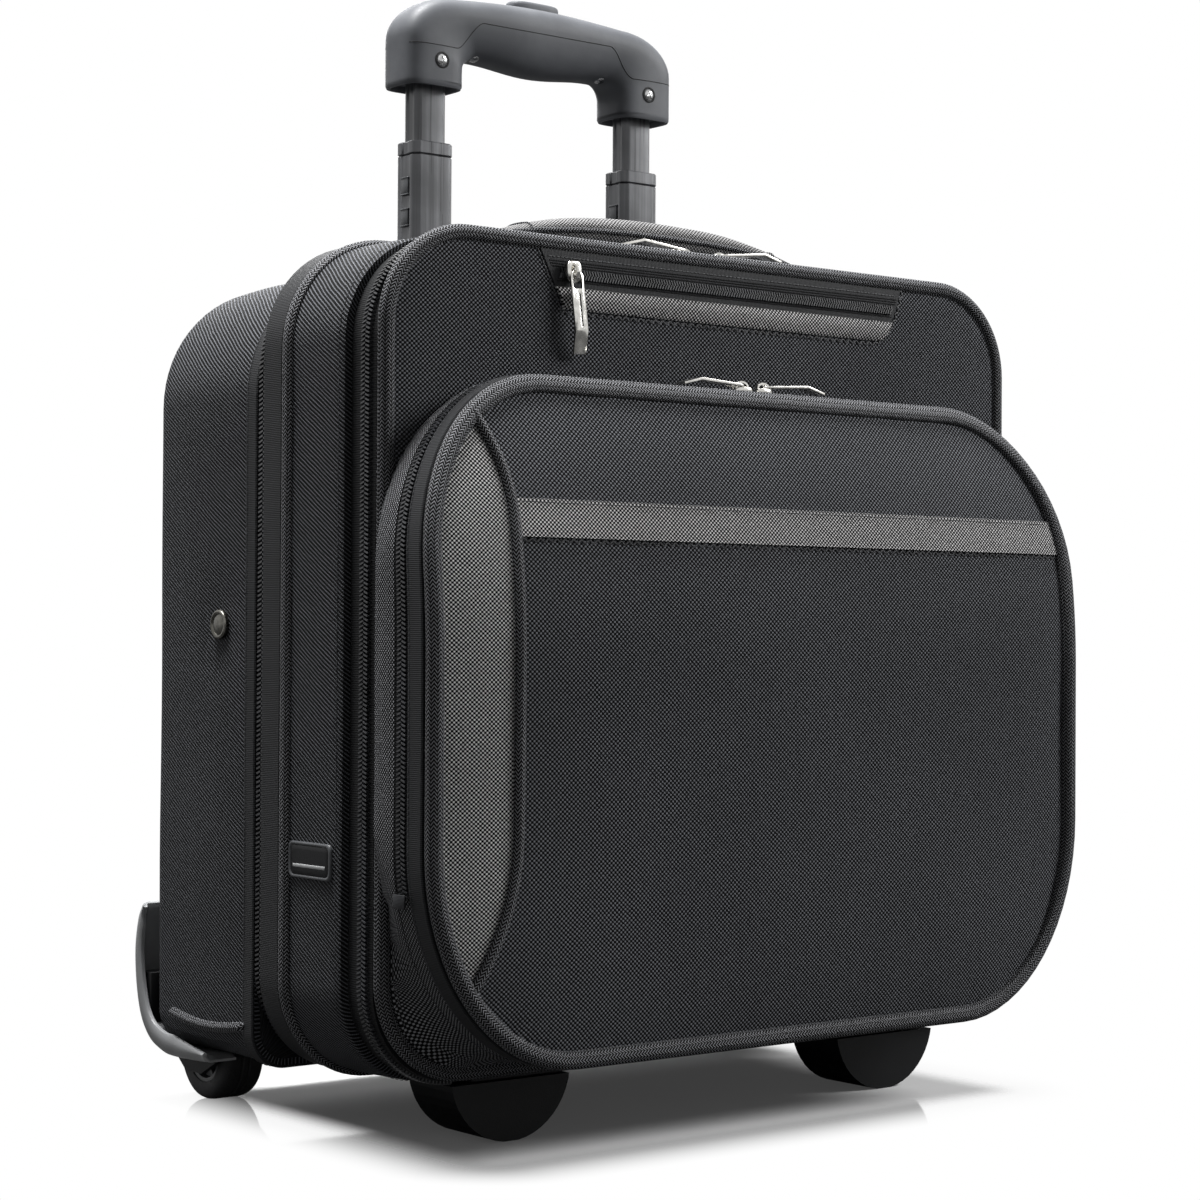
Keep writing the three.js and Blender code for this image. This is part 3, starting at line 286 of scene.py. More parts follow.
BALLISTIC = dotted("ballistic_weave", "050506", "818388", 2.5 * MM, 2.2 * MM, low=-0.2, high=0.55)
GREY = dotted("grey_weave", "0c0c0d", "ecebeb", 2.3 * MM, 2.0 * MM, low=-0.25, high=0.6, rough=0.66)
PAD = dotted("padded_weave", "1e1e1f", "b9b8b8", 2.2 * MM, 2.0 * MM, low=-0.45, high=0.7, rough=0.66)
BASKET = dotted("basket_weave", "000000", "a9aaae", 2.1 * MM, 2.3 * MM, low=-0.15, high=0.7, rough=0.6)
TWILL = twill("diagonal_twill", "000000", "74767b", 2.1 * MM, 0.62)
BRAID = braid("braided_piping", "000000", "a2a3a7", 1.9 * MM, 3.0 * MM)
CHAIN = braid("narrow_braid", "000000", "9d9ea2", 1.8 * MM, 2.6 * MM)
RIBBON = ribbed("smooth_ribbon", "0a0b0c", "303134", 0.9 * MM)
TAPE = ribbed("zip_tape", "040405", "1d1e20", 1.1 * MM)
LINING = ribbed("lining_cloth", "3a3b3e", "66676b", 1.3 * MM, rough=0.75)
COIL = moulded("zip_coil", "121314", "36373b", 0.36, 400.0, 0.00002, Specular_IOR_Level=0.6)
THREAD = moulded("sewing_thread", "17181a", "4a4b4f", 0.5, 1500.0, 0.0001)
GRIP = moulded("soft_grip", "56585c", "66686c", 0.5, 1800.0, 0.00006, Specular_IOR_Level=0.25)
GROOVE = moulded("parting_groove", "0c0c0d", "151617", 0.8, 900.0, 0.00003)
BLACK = moulded("black_plastic", "08090a", "131416", 0.45, 1400.0, 0.00007, Specular_IOR_Level=0.18)
GUARD = moulded("guard_plastic", "88898b", "a0a2a3", 0.36, 900.0, 0.00006, wear="d4d5d6")
TYRE = moulded("tyre_rubber", "121213", "232325", 0.75, 700.0, 0.00015)
TUBE = brushed("satin_tube", "4a4b4d", "66676a", 0.3, (400.0, 400.0, 6.0), metal=0.3)
NICKEL = brushed("polished_nickel", "b5b4b0", "dedcd7", 0.14, (200.0, 200.0, 200.0))
STEEL = brushed("screw_steel", "8a8b8c", "c2c2c2", 0.22, (300.0, 300.0, 300.0))
RIVET = brushed("antique_nickel", "55544f", "8d8b85", 0.3, (200.0, 200.0, 200.0))
HUB = moulded("hub_plastic", "3a3c3f", "505255", 0.4, 900.0, 0.00006)
BOARD = moulded("board", "18181a", "29292b", 0.6, 500.0, 0.0001)


# ---------- mesh helpers ----------
class Build:
    """Collects grids and small shapes, and turns them into one piece."""

    def __init__(self):
        self.verts, self.faces, self.uvs, self.slots = [], [], [], []

    def grid(self, rows, us, vs, wrap_i=False, wrap_j=False):
        """Quads between rows of points, with us along the rows' order and vs along each row."""
        ni, nj = len(rows), len(rows[0])
        base = len(self.verts)
        self.verts.extend(p for row in rows for p in row)
        for i in range(ni if wrap_i else ni - 1):
            for j in range(nj if wrap_j else nj - 1):
                around = ((i, j), (i + 1, j), (i + 1, j + 1), (i, j + 1))
                self.faces.append([base + (p % ni) * nj + (q % nj) for p, q in around])
                self.uvs.append([(us[p], vs[q]) for p, q in around])
                self.slots.append(0)
        return base

    def ends(self, base, rows):
        """Caps the first and the last row of a grid."""
        n = len(rows[0])
        for first in (base, base + (len(rows) - 1) * n):
            self.cap(range(first, first + n))

    def solid(self, rows, us, vs):
        """A grid closed along its rows, with both ends capped."""
        self.ends(self.grid(rows, us, vs, wrap_j=True), rows)

    def cap(self, indices, slot=0):
        """One face, with its pattern laid flat in X and Z."""
        self.faces.append(list(indices))
        self.uvs.append([(self.verts[i][0], self.verts[i][2]) for i in indices])
        self.slots.append(slot)

    def sheet(self, rows, wrap_i=False):
        """A grid whose pattern lies flat in X and Z, whatever its rows do."""
        ni, nj = len(rows), len(rows[0])
        base = len(self.verts)
        self.verts.extend(p for row in rows for p in row)
        for i in range(ni if wrap_i else ni - 1):
            for j in range(nj - 1):
                around = ((i, j), (i + 1, j), (i + 1, j + 1), (i, j + 1))
                self.cap([base + (p % ni) * nj + q for p, q in around])
        return base

    def shape(self, verts, faces, matrix=None):
        base = len(self.verts)
        for p in verts:
            self.verts.append(tuple(matrix @ Vector(p) if matrix else Vector(p)))
        for face in faces:
            self.cap([base + i for i in face])

    def done(self, name, mats, body=None, slot=None, nodes=(), sharp=40, recalc=True):
        """The piece, with its smoothing, CAD nodes and body. Its slot is not used."""
        mesh = bpy.data.meshes.new(name)
        mesh.from_pydata([tuple(v) for v in self.verts], [], self.faces)
        layer = mesh.uv_layers.new(name="UVMap")
        flat = [c for face in self.uvs for corner in face for c in corner]
        layer.data.foreach_set("uv", flat)
        mesh.polygons.foreach_set("material_index", self.slots)
        for mat in mats if isinstance(mats, (list, tuple)) else [mats]:
            mesh.materials.append(mat)
        if recalc:
            work = bmesh.new()
            work.from_mesh(mesh)
            bmesh.ops.recalc_face_normals(work, faces=work.faces)
            work.to_mesh(mesh)
            work.free()
        obj = bpy.data.objects.new(name, mesh)
        bpy.context.scene.collection.objects.link(obj)
        shade(obj, sharp)
        if nodes:
            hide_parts(*nodes)
        if body:
            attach(obj, body)
        return obj


def shade(obj, angle):
    obj.data.shade_smooth()
    obj.data.set_sharp_from_angle(angle=math.radians(angle))


def apply_modifiers(obj):
    """Bakes an object's modifiers into its mesh."""
    bpy.context.view_layer.update()
    graph = bpy.context.evaluated_depsgraph_get()
    mesh = bpy.data.meshes.new_from_object(obj.evaluated_get(graph))
    obj.modifiers.clear()
    obj.data = mesh


def bevel(obj, width, angle):
    mod = obj.modifiers.new("bevel", "BEVEL")
    mod.width, mod.segments = width, 2
    mod.limit_method, mod.angle_limit = "ANGLE", math.radians(angle)


def bevelled(obj, width, angle=40):
    bevel(obj, width, angle)
    apply_modifiers(obj)
    shade(obj, 50)


def carve(obj, verts, faces, matrix=None):
    """Cuts a closed shape out of a closed piece."""
    cutter = made(Build.shape, verts, faces, matrix).done("cutter", TAPE)
    mod = obj.modifiers.new("cut", "BOOLEAN")
    mod.operation, mod.object, mod.solver = "DIFFERENCE", cutter, "EXACT"
    apply_modifiers(obj)
    bpy.data.objects.remove(cutter)


def block(lo, hi):
    """The corners and faces of a box."""
    verts = [(x, y, z) for x in (lo[0], hi[0]) for y in (lo[1], hi[1]) for z in (lo[2], hi[2])]
    faces = [(0, 1, 3, 2), (4, 6, 7, 5), (0, 4, 5, 1), (2, 3, 7, 6), (0, 2, 6, 4), (1, 5, 7, 3)]
    return verts, faces


def lathe(build, centre, axis, profile, count=32, closed=False):
    """Turns a profile of (radius, height) in millimetres about an axis through centre."""
    axis = Vector(axis).normalized()
    side = axis.orthogonal().normalized()
    other = axis.cross(side)
    rows = []
    for k in range(count):
        a = TAU * k / count
        out = side * math.cos(a) + other * math.sin(a)
        rows.append([tuple(Vector(centre) + out * max(r, 0.01) * MM + axis * h * MM) for r, h in profile])
    us = [k * 2 * MM for k in range(count + 1)]
    base = build.grid(rows, us, [run * MM for run in lengths(profile)], wrap_i=True, wrap_j=closed)
    n = len(profile)
    if not closed:
        for level in (0, n - 1):
            build.cap([base + i * n + level for i in range(count)])


class Loop:
    """A rounded upright outline in XZ, listed from the middle of its bottom towards +X, with outward normals."""

    def __init__(self, size, corners, inset=0.0, straight=(10, 16, 20, 16, 10), turn=16):
        hw, low, top = size[0] - inset, size[1] + inset, size[2] - inset
        tx, tz, bx, bz = [max(r - inset, 0.0015) for r in corners]
        self.size, self.corners = (hw, low, top), (tx, tz, bx, bz)
        self.points = []

        def line(x0, z0, x1, z1, count, nx, nz):
            for i in range(count):
                t = i / count
                self.points.append((x0 + (x1 - x0) * t, z0 + (z1 - z0) * t, nx, nz))

        def corner(cx, cz, rx, rz, start):
            for i in range(turn):
                a = math.radians(start + 90 * i / turn)
                n = Vector((math.cos(a) / rx, math.sin(a) / rz)).normalized()
                self.points.append((cx + rx * math.cos(a), cz + rz * math.sin(a), n.x, n.y))

        line(0, low, hw - bx, low, straight[0], 0, -1)
        corner(hw - bx, low + bz, bx, bz, -90)
        line(hw, low + bz, hw, top - tz, straight[1], 1, 0)
        corner(hw - tx, top - tz, tx, tz, 0)
        line(hw - tx, top, tx - hw, top, straight[2], 0, 1)
        corner(tx - hw, top - tz, tx, tz, 90)
        line(-hw, top - tz, -hw, low + bz, straight[3], -1, 0)
        corner(bx - hw, low + bz, bx, bz, 180)
        line(bx - hw, low, 0, low, straight[4], 0, -1)
        self.s = lengths(self.points)
        self.length = self.s[-1]

    def at(self, s):
        """x, z, normal x, normal z, tangent x, tangent z at a distance along the outline."""
        s %= self.length
        lo, hi = 0, len(self.s) - 1
        while hi - lo > 1:
            mid = (lo + hi) // 2
            if self.s[mid] <= s:
                lo = mid
            else:
                hi = mid
        p, q = self.points[lo], self.points[(lo + 1) % len(self.points)]
        t = (s - self.s[lo]) / max(self.s[lo + 1] - self.s[lo], 1e-9)
        x, z, nx, nz = (a + (b - a) * t for a, b in zip(p, q))
        n = math.hypot(nx, nz) or 1
        return x, z, nx / n, nz / n, -nz / n, nx / n

    def depth_in(self, x, z):
        """How far a point lies inside the outline."""
        hw, low, top = self.size
        tx, tz, bx, bz = self.corners
        ax = abs(x)
        if z > top - tz and ax > hw - tx:
            return (1 - math.hypot((ax - hw + tx) / tx, (z - top + tz) / tz)) * min(tx, tz)
        if z < low + bz and ax > hw - bx:
            return (1 - math.hypot((ax - hw + bx) / bx, (low + bz - z) / bz)) * min(bx, bz)
        return min(hw - ax, z - low, top - z)


def same(x, y, z):
    """A bend that changes nothing."""
    return x, y, z


def sweep(build, loop, section, bend=same, first=0, last=None, ripple=0.0):
    """Carries a section of (outward, y) pairs round an outline, or round the part of it from first to last."""
    count = len(loop.points)
    whole = last is None
    indices = range(count) if whole else range(first, last + 1)
    rows = []
    for i in indices:
        x, z, nx, nz = loop.points[i % count]
        row = []
        for out, y in section:
            if ripple:
                out += ripple * noise.noise(Vector((x * 14, y * 20, z * 14)))
            row.append(bend(x + nx * out, y, z + nz * out))
        rows.append(row)
    us = [loop.s[i] if i <= count else loop.length + loop.s[i - count] for i in indices]
    if whole:
        us.append(loop.length)
    base = build.grid(rows, us, lengths(section), wrap_i=whole, wrap_j=True)
    if not whole:
        build.ends(base, rows)


def made(maker, *args, **options):
    """What one helper makes by itself, ready for done."""
    build = Build()
    maker(build, *args, **options)
    return build


def swept(name, mat, body, slot, loop, section, nodes=(), **options):
    """A piece made by carrying one section round an outline."""
    return made(sweep, loop, section, **options).done(name, mat, body, slot, nodes)


def oval(out, y, r_out, r_y, count):
    """The section of a round cord."""
    return [(out + r_out * c, y + r_y * s) for c, s, _, _ in superellipse(count, 1, 1)]


def strip(out0, out1, y0, y1, soft=0.6 * MM, steps=4):
    """A flat closed section with softened outer edges: out1 is its face and y0 is nearer the front."""
    face = [(out1, lerp(y0, y1, k / steps)) for k in range(1, steps)]
    start = [(out0, y0), (out1 - soft, y0), (out1, y0 + soft)]
    return start + face + [(out1, y1 - soft), (out1 - soft, y1), (out0, y1)]


def bar_shape(length, width, height):
    """A small rounded bar that lies along Y with its foot at Z = 0."""
    verts = []
    for share, z in ((1.0, 0.0), (0.98, height * 0.55), (0.62, height)):
        w, l = width / 2 * share, length / 2 - width / 2 * (1 - share)
        verts += [(-w, -l, z), (w, -l, z), (w, l, z), (-w, l, z)]
    faces = [(3, 2, 1, 0), (8, 9, 10, 11)]
    for k in range(2):
        for j in range(4):
            a, b = 4 * k + j, 4 * k + (j + 1) % 4
            faces.append((a, b, b + 4, a + 4))
    return verts, faces


def frame_at(origin, x_axis, z_axis):
    """A placement from its origin and two of its axes."""
    x, z = Vector(x_axis).normalized(), Vector(z_axis).normalized()
    y = z.cross(x)
    return Matrix((
        (x.x, y.x, z.x, origin[0]), (x.y, y.y, z.y, origin[1]), (x.z, y.z, z.z, origin[2]), (0, 0, 0, 1),
    ))


def along(loop, step, start, end):
    """Even steps along a part of an outline."""
    count = max(1, int(round((end - start) / step)))
    for k in range(count + 1):
        yield k, loop.at(start + (end - start) * k / count)


def turned(lie, degrees):
    return lie @ Matrix.Rotation(math.radians(degrees), 4, "Z")


# pitch, length, width and height of a coil's bars
REAR_COIL = (2.3 * MM, 4.4 * MM, 1.5 * MM, 2.4 * MM)
MAIN_COIL = (2.1 * MM, 3.9 * MM, 1.25 * MM, 2.1 * MM)
POCKET_COIL = (2.1 * MM, 3.8 * MM, 1.25 * MM, 2.0 * MM)
COIL_SLANT = 18.0
# pitch, length and width of stitches, and the turn of a zigzag's
SEAM_STITCH = (2.6 * MM, 2.0 * MM, 0.5 * MM)
ZIGZAG_STITCH = (2.4 * MM, 3.0 * MM, 0.75 * MM, 40)


def coil_piece(name, body, loop, out, y, sides, start, end, sizes, bend=same):
    """A zip's coil: small slanted bars behind (+1) or in front of (-1) y, for each of the sides given."""
    pitch, length, width, height = sizes
    verts, faces = bar_shape(length, width, height)
    build = Build()
    for side in sides:
        shift = pitch / 2 if side > 0 else 0.0
        for _, (x, z, nx, nz, tx, tz) in along(loop, pitch, start, end):
            x, z = x + tx * shift + nx * out, z + tz * shift + nz * out
            here = Vector(bend(x, y + side * length * 0.46, z))
            build.shape(verts, faces, turned(frame_at(here, (tx, 0, tz), (nx, 0, nz)), COIL_SLANT * side))
    build.done(name, COIL, body, "coil")


def stitches(build, loop, out, y, pitch, length, width, bend=same):
    """A round of stitches on an outline."""
    verts, faces = bar_shape(width, length, width * 0.6)
    for _, (x, z, nx, nz, tx, tz) in along(loop, pitch, 0, loop.length):
        here = Vector(bend(x + nx * out, y, z + nz * out))
        build.shape(verts, faces, frame_at(here, (tx, 0, tz), (nx, 0, nz)))


def size_of(node):
    """Half width, bottom and top of a node."""
    lo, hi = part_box(node)
    return hi.x, lo.z, hi.z


def lo_y(node):
    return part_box(node)[0].y


def hi_y(node):
    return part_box(node)[1].y


# ---------- outlines and depths, from the frame ----------
MIDDLE = (size_of("middle_shell"), (54 * MM, 54 * MM, 48 * MM, 48 * MM))
REAR = (size_of("rear_shell"), (66 * MM, 66 * MM, 18 * MM, 18 * MM))
REAR_ZIP = (size_of("rear_zip"), (58 * MM, 58 * MM, 48 * MM, 48 * MM))
MAIN_ZIP = (size_of("main_zip_rear_half")[:1] + (31 * MM, size_of("main_zip_rear_half")[2]), MIDDLE[1])
PANEL = (size_of("front_piping"), (50 * MM,) * 4)
POCKET = (size_of("pocket_piping"), (80 * MM, 92 * MM, 86 * MM, 104 * MM))
REAR_SEAM, REAR_BACK = lo_y("rear_shell"), hi_y("rear_shell")
MIDDLE_SEAM, MIDDLE_FRONT = lo_y("rear_zip"), lo_y("main_zip_rear_half") + 13.85 * MM
MAIN_MEET = (lo_y("main_zip_rear_half") + hi_y("main_zip_front_half")) / 2
PANEL_SEAM = hi_y("front_panel")
PANEL_FACE = lo_y("front_panel")
POCKET_MEET = lo_y("pocket_gusset") - 0.15 * MM
POCKET_FACE = lo_y("pocket_front")
POCKET_TOP = POCKET[0][2]
TAPER_FROM, TAPER_LOSS = POCKET_TOP - 138 * MM, 0.484


def tapered(x, y, z):
    """The upper part of the pocket gets shallower towards its top."""
    if y >= PANEL_FACE:
        return x, y, z
    t = share_of(z, TAPER_FROM, POCKET_TOP)
    return x, PANEL_FACE + (y - PANEL_FACE) * (1 - TAPER_LOSS * t * t), z


def crown(depth, height, reach):
    """How far a pad stands proud at a depth inside its edge."""
    return height * (1 - math.exp(-max(depth, 0.0) / reach))


PANEL_LOOP = Loop(*PANEL)
POCKET_LOOP = Loop(*POCKET)


PAD_EDGE = 6 * MM
PANEL_EDGE, PANEL_CROWN, PANEL_REACH, PANEL_WAVE = 1.4 * MM, 1.6 * MM, 11 * MM, 0.25 * MM
POCKET_EDGE, POCKET_CROWN, POCKET_SAG, POCKET_REACH = 2.2 * MM, 3.6, 2.2, 24 * MM
POCKET_WAVE, PUCKER, PUCKER_REACH = 0.5 * MM, 0.3 * MM, 9 * MM


def panel_y(x, z, lift=0.0):
    """Face of the padded front panel."""
    d = PANEL_LOOP.depth_in(x, z) - PAD_EDGE
    wave = PANEL_WAVE * noise.noise(Vector((x * 9, 3.1, z * 9)))
    return PANEL_FACE + PANEL_EDGE - crown(d, PANEL_CROWN, PANEL_REACH) - wave - lift


def pocket_y(x, z, lift=0.0):
    """Face of the padded pocket front, fuller towards its bottom, with puckers along its edge."""
    d = POCKET_LOOP.depth_in(x, z) - PAD_EDGE
    wave = POCKET_WAVE * noise.noise(Vector((x * 8, 7.7, z * 8)))
    pucker = PUCKER * math.exp(-max(d, 0) / PUCKER_REACH) * math.sin(150 * x + 60 * z)
    height = (POCKET_CROWN + POCKET_SAG * share_of(z, POCKET_TOP, POCKET[0][1])) * MM
    y = POCKET_FACE + POCKET_EDGE - crown(d, height, POCKET_REACH) - wave - pucker
    return tapered(x, y, z)[1] - lift


PAD_LEVELS = (1.0, 0.992, 0.975, 0.95, 0.91, 0.86, 0.8, 0.72, 0.63, 0.53, 0.42, 0.3, 0.18, 0.07)


def face_rings(loop, y_at, inset, back):
    """A crowned pad that fills an outline: its face, a turned edge and a flat back."""
    build = Build()
    cz = (loop.size[1] + loop.size[2]) / 2
    outer = [(p[0], p[1]) for p in Loop(loop.size, loop.corners, inset).points]
    rings = [[(x, back(x, z), z) for x, z in outer]]
    for share in PAD_LEVELS:
        flat = [(x * share, cz + (z - cz) * share) for x, z in outer]
        rings.append([(x, y_at(x, z), z) for x, z in flat])
    n = len(rings)
    base = build.sheet([[ring[i] for ring in rings] for i in range(len(outer))], wrap_i=True)
    build.cap([base + i * n + n - 1 for i in range(len(outer))])
    build.cap([base + i * n for i in range(len(outer))], 1)
    return build


def patch(build, left, right, z0, z1, y_at, lift, nx=60, nz=8):
    """A trim sewn on a padded face between two heights: its edges turn down to the face."""
    rows = []
    heights = [z0, z0] + [lerp(z0, z1, i / nz) for i in range(nz + 1)] + [z1, z1]
    for i, z in enumerate(heights):
        down = i == 0 or i == len(heights) - 1
        x0, x1 = left(z), right(z)
        soft = 0.5 * MM * (1 if i <= 1 else -1 if i >= len(heights) - 2 else 0)
        row = []
        for j in range(-1, nx + 2):
            x = lerp(x0, x1, min(max(j / nx, 0), 1))
            side = j < 0 or j > nx
            inner = 0.0 if side or down else lift
            shift = 0.5 * MM * (1 if j <= 0 else -1 if j >= nx else 0) if not side else 0.0
            zz = z + (0 if down else soft)
            row.append((x + shift, y_at(x, zz) - inner + (0.3 * MM if inner == 0 else 0), zz))
        rows.append(row)
    build.sheet(rows)


def line_stitches(build, points, y_at, lift, pitch, length, width, zigzag=0.0):
    """Stitches along a line of (x, z) points on a padded face."""
    verts, faces = bar_shape(width, length, width * 0.6)
    total, k = 0.0, 0
    for (x0, z0), (x1, z1) in zip(points, points[1:]):
        run = math.hypot(x1 - x0, z1 - z0)
        while total <= run:
            t = total / run
            x, z = lerp(x0, x1, t), lerp(z0, z1, t)
            lie = frame_at((x, y_at(x, z, lift), z), (x1 - x0, 0, z1 - z0), (0, -1, 0))
            build.shape(verts, faces, turned(lie, zigzag * (-1) ** k))
            total += pitch
            k += 1
        total -= run


def tube_along(build, points, radius, count=10, flat=1.0):
    """A round cord through points, with the pattern running along it."""
    rows, us = [], [0.0]
    pts = [Vector(p) for p in points]
    up = None
    for i, p in enumerate(pts):
        ahead = (pts[min(i + 1, len(pts) - 1)] - pts[max(i - 1, 0)]).normalized()
        if up is None:
            up = ahead.orthogonal().normalized()
        up = (up - ahead * up.dot(ahead)).normalized()
        side = ahead.cross(up)
        rows.append([tuple(p + (up * math.cos(TAU * k / count) * flat + side * math.sin(TAU * k / count)) * radius)
                     for k in range(count)])
        if i:
            us.append(us[-1] + (p - pts[i - 1]).length)
    vs = [TAU * radius * k / count for k in range(count + 1)]
    build.solid(rows, us, vs)


# ---------- rear compartment ----------
RIVET_MID = sum(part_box("rivet_left"), Vector()) / 2
RIVET_Y, RIVET_Z, RIVET_DIMPLE, RIVET_REACH = RIVET_MID.y, RIVET_MID.z, 2.4 * MM, 15 * MM
REAR_ROUND, REAR_WALL = 12 * MM, 3.2 * MM


def rear_fabric():
    build = Build()
    sections = [(REAR_SEAM, 0.0, 0.0)]
    straight = REAR_BACK - REAR_ROUND
    for k in range(1, 9):
        t = k / 8
        sections.append((lerp(REAR_SEAM, straight, t), 0.0, 1.6 * MM * math.sin(math.pi * t)))
    for ease, sine in quarter(8, 1):
        sections.append((straight + REAR_ROUND * sine, REAR_ROUND * ease, 0.0))
    rings, runs = [], lengths(sections)[:-1]
    for y, inset, puff in sections:
        loop = Loop(REAR[0], REAR[1], inset)
        ring = []
        for x, z, nx, nz in loop.points:
            out = 0.8 * MM * noise.noise(Vector((x * 11, y * 16, z * 11))) * min(1, (y - REAR_SEAM) / (15 * MM))
            out += puff if nz > -0.5 else 0.0
            far = ((y - RIVET_Y) ** 2 + (z - RIVET_Z) ** 2) / RIVET_REACH ** 2
            out -= RIVET_DIMPLE * math.exp(-far) * abs(nx)
            ring.append((x + nx * out, y, z + nz * out))
        rings.append(ring)
    middle = (REAR[0][1] + REAR[0][2]) / 2
    last = rings[-1]
    for share in (0.985, 0.93, 0.8, 0.6, 0.35, 0.1):
        y = REAR_BACK + crown((1 - share) * 0.15, 1.2 * MM, 10 * MM)
        rings.append([(x * share, y, middle + (z - middle) * share) for x, _, z in last])
        runs.append(runs[-1] + 0.02)
    count, n = len(last), len(rings)
    build.grid([[ring[i] for ring in rings] for i in range(count)], Loop(*REAR).s, runs, wrap_i=True)
    flat_from = len(sections) - 1
    for f, face in enumerate(build.faces):
        if all(v % n >= flat_from for v in face):
            build.uvs[f] = [(build.verts[v][2], build.verts[v][0]) for v in face]
    build.cap([i * n + n - 1 for i in range(count)])
    piece = build.done("rear_fabric", TWILL)
    mod = piece.modifiers.new("wall", "SOLIDIFY")
    mod.thickness, mod.offset = REAR_WALL, -1.0
    apply_modifiers(piece)
    gap = 0.2 * MM
    for side, _ in SIDES:
        lo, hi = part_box(f"middle_tube_{side}")
        carve(piece, *block((lo.x - MM, lo.y - MM, REAR[0][2] - 20 * MM),
                            (hi.x + MM, hi.y + MM, REAR[0][2] + 20 * MM)))
        lo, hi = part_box(f"wheel_housing_{side}")
        carve(piece, *block((lo.x - gap, lo.y - gap, -0.02), (hi.x + gap, hi.y + 0.05, hi.z + gap)))
    shade(piece, 50)
    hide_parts("rear_shell")
    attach(piece, "case")


rear_fabric()

rear_loop = Loop(*REAR)
swept("rear_seam_ribbon", RIBBON, "case", "piping", rear_loop,
      strip(0.1 * MM, 1.5 * MM, REAR_SEAM + 0.2 * MM, REAR_SEAM + 10 * MM), ripple=0.15 * MM)
edge = Build()
stitches(edge, rear_loop, 1.5 * MM, REAR_SEAM + 8.6 * MM, *SEAM_STITCH)
stitches(edge, rear_loop, 0.5 * MM, REAR_SEAM + 11.2 * MM, 2.8 * MM, 1.6 * MM, 0.4 * MM)
edge.done("rear_seam_stitches", THREAD, "case", "piping")

zip_loop = Loop(*REAR_ZIP)
zip_mid = (MIDDLE_SEAM + REAR_SEAM) / 2
zip_start, zip_end = MIDDLE_SEAM + 0.1 * MM, REAR_SEAM - 0.4 * MM
swept("rear_zip_tape", TAPE, "case", "coil", zip_loop,
      [(-3.6 * MM, zip_start), (-2.4 * MM, zip_start), (-2.0 * MM, zip_mid - 1 * MM), (-2.3 * MM, zip_mid),
       (-2.0 * MM, zip_mid + 1 * MM), (-2.4 * MM, zip_end), (-3.6 * MM, zip_end)], ("rear_zip",))
coil_piece("rear_zip_coil", "case", zip_loop, -1.2 * MM, zip_mid, (-1, 1), 0, zip_loop.length, REAR_COIL)

# cloth closes the corners, where the rear outline is squarer than the zip
y0, y1 = REAR_SEAM - 0.3 * MM, REAR_SEAM + 1.6 * MM
rows = []
for outer, inner in zip(rear_loop.points, zip_loop.points):
    folds = ((outer, 0.2 * MM, y1), (inner, 0.8 * MM, y0), (inner, 3.0 * MM, y0 + 0.8 * MM),
             (outer, 2.5 * MM, y1 + 1 * MM))
    rows.append([(p[0] - p[2] * inset, y, p[1] - p[3] * inset) for p, inset, y in folds])
made(Build.grid, rows, rear_loop.s, [0, 0.012, 0.014, 0.026, 0.028], wrap_i=True, wrap_j=True).done(
    "rear_corner_cloth", RIBBON, "case", "ballistic")

# a braid closes the lower edge of the rear fabric on each side, down to the base
low_edge = Build()
for side, s in SIDES:
    x = s * (REAR[0][0] + 1.2 * MM)
    z = REAR[0][1] + 19 * MM
    guard_front = lo_y(f"corner_guard_{side}") + 34 * MM
    pts = []
    bend_y = REAR_SEAM + 12 * MM
    for k in range(15):
        pts.append((x, lerp(guard_front, bend_y, k / 14), z - 3 * MM * math.sin(math.pi * k / 14)))
    for ease, sine in quarter(6, 1):
        pts.append((x - s * 5 * MM * ease, bend_y - 4 * MM * sine, z + 3.6 * MM * ease))
    tube_along(low_edge, pts, 2.7 * MM)
low_edge.done("rear_base_piping", CHAIN, "case", "piping")


# ---------- middle section ----------
middle_loop = Loop(*MIDDLE)
puff_from, puff_to = MIDDLE_FRONT + 1.4 * MM, MIDDLE_SEAM - 1.2 * MM
side_section = [(-4.6 * MM, MIDDLE_FRONT + 0.4 * MM), (-0.6 * MM, MIDDLE_FRONT + 0.4 * MM), (0.0, puff_from)]
side_section += [(0.9 * MM * math.sin(math.pi * k / 10), lerp(puff_from, puff_to, k / 10)) for k in range(1, 10)]
side_section += [(0.0, puff_to), (-0.8 * MM, MIDDLE_SEAM - 0.2 * MM), (-4.6 * MM, MIDDLE_SEAM - 0.2 * MM)]
swept("middle_gusset", TWILL, "case", "ballistic", middle_loop, side_section, ("middle_shell",), ripple=0.35 * MM)
y0, y1 = MIDDLE_FRONT + 0.8 * MM, MIDDLE_SEAM - 0.4 * MM
swept("middle_lining", LINING, "case", "lining", middle_loop,
      [(-5.3 * MM, y0), (-4.7 * MM, y0), (-4.7 * MM, y1), (-5.3 * MM, y1)])
piping_back, piping_front = hi_y("middle_piping"), lo_y("middle_piping")
swept("zip_flap", RIBBON, "case", "piping", middle_loop,
      strip(0.1 * MM, 2.1 * MM, piping_back + 0.2 * MM, MIDDLE_SEAM + 0.6 * MM, soft=0.9 * MM), ripple=0.2 * MM)
swept("middle_braid", BRAID, "case", "piping", middle_loop,
      oval(1.0 * MM, (piping_back + piping_front) / 2, 2.6 * MM, 4.1 * MM, 16), ("middle_piping",))
made(stitches, middle_loop, 0.2 * MM, MIDDLE_FRONT + 4.6 * MM, 2.8 * MM, 1.7 * MM, 0.45 * MM).done(
    "gusset_stitches", THREAD, "case", "piping")


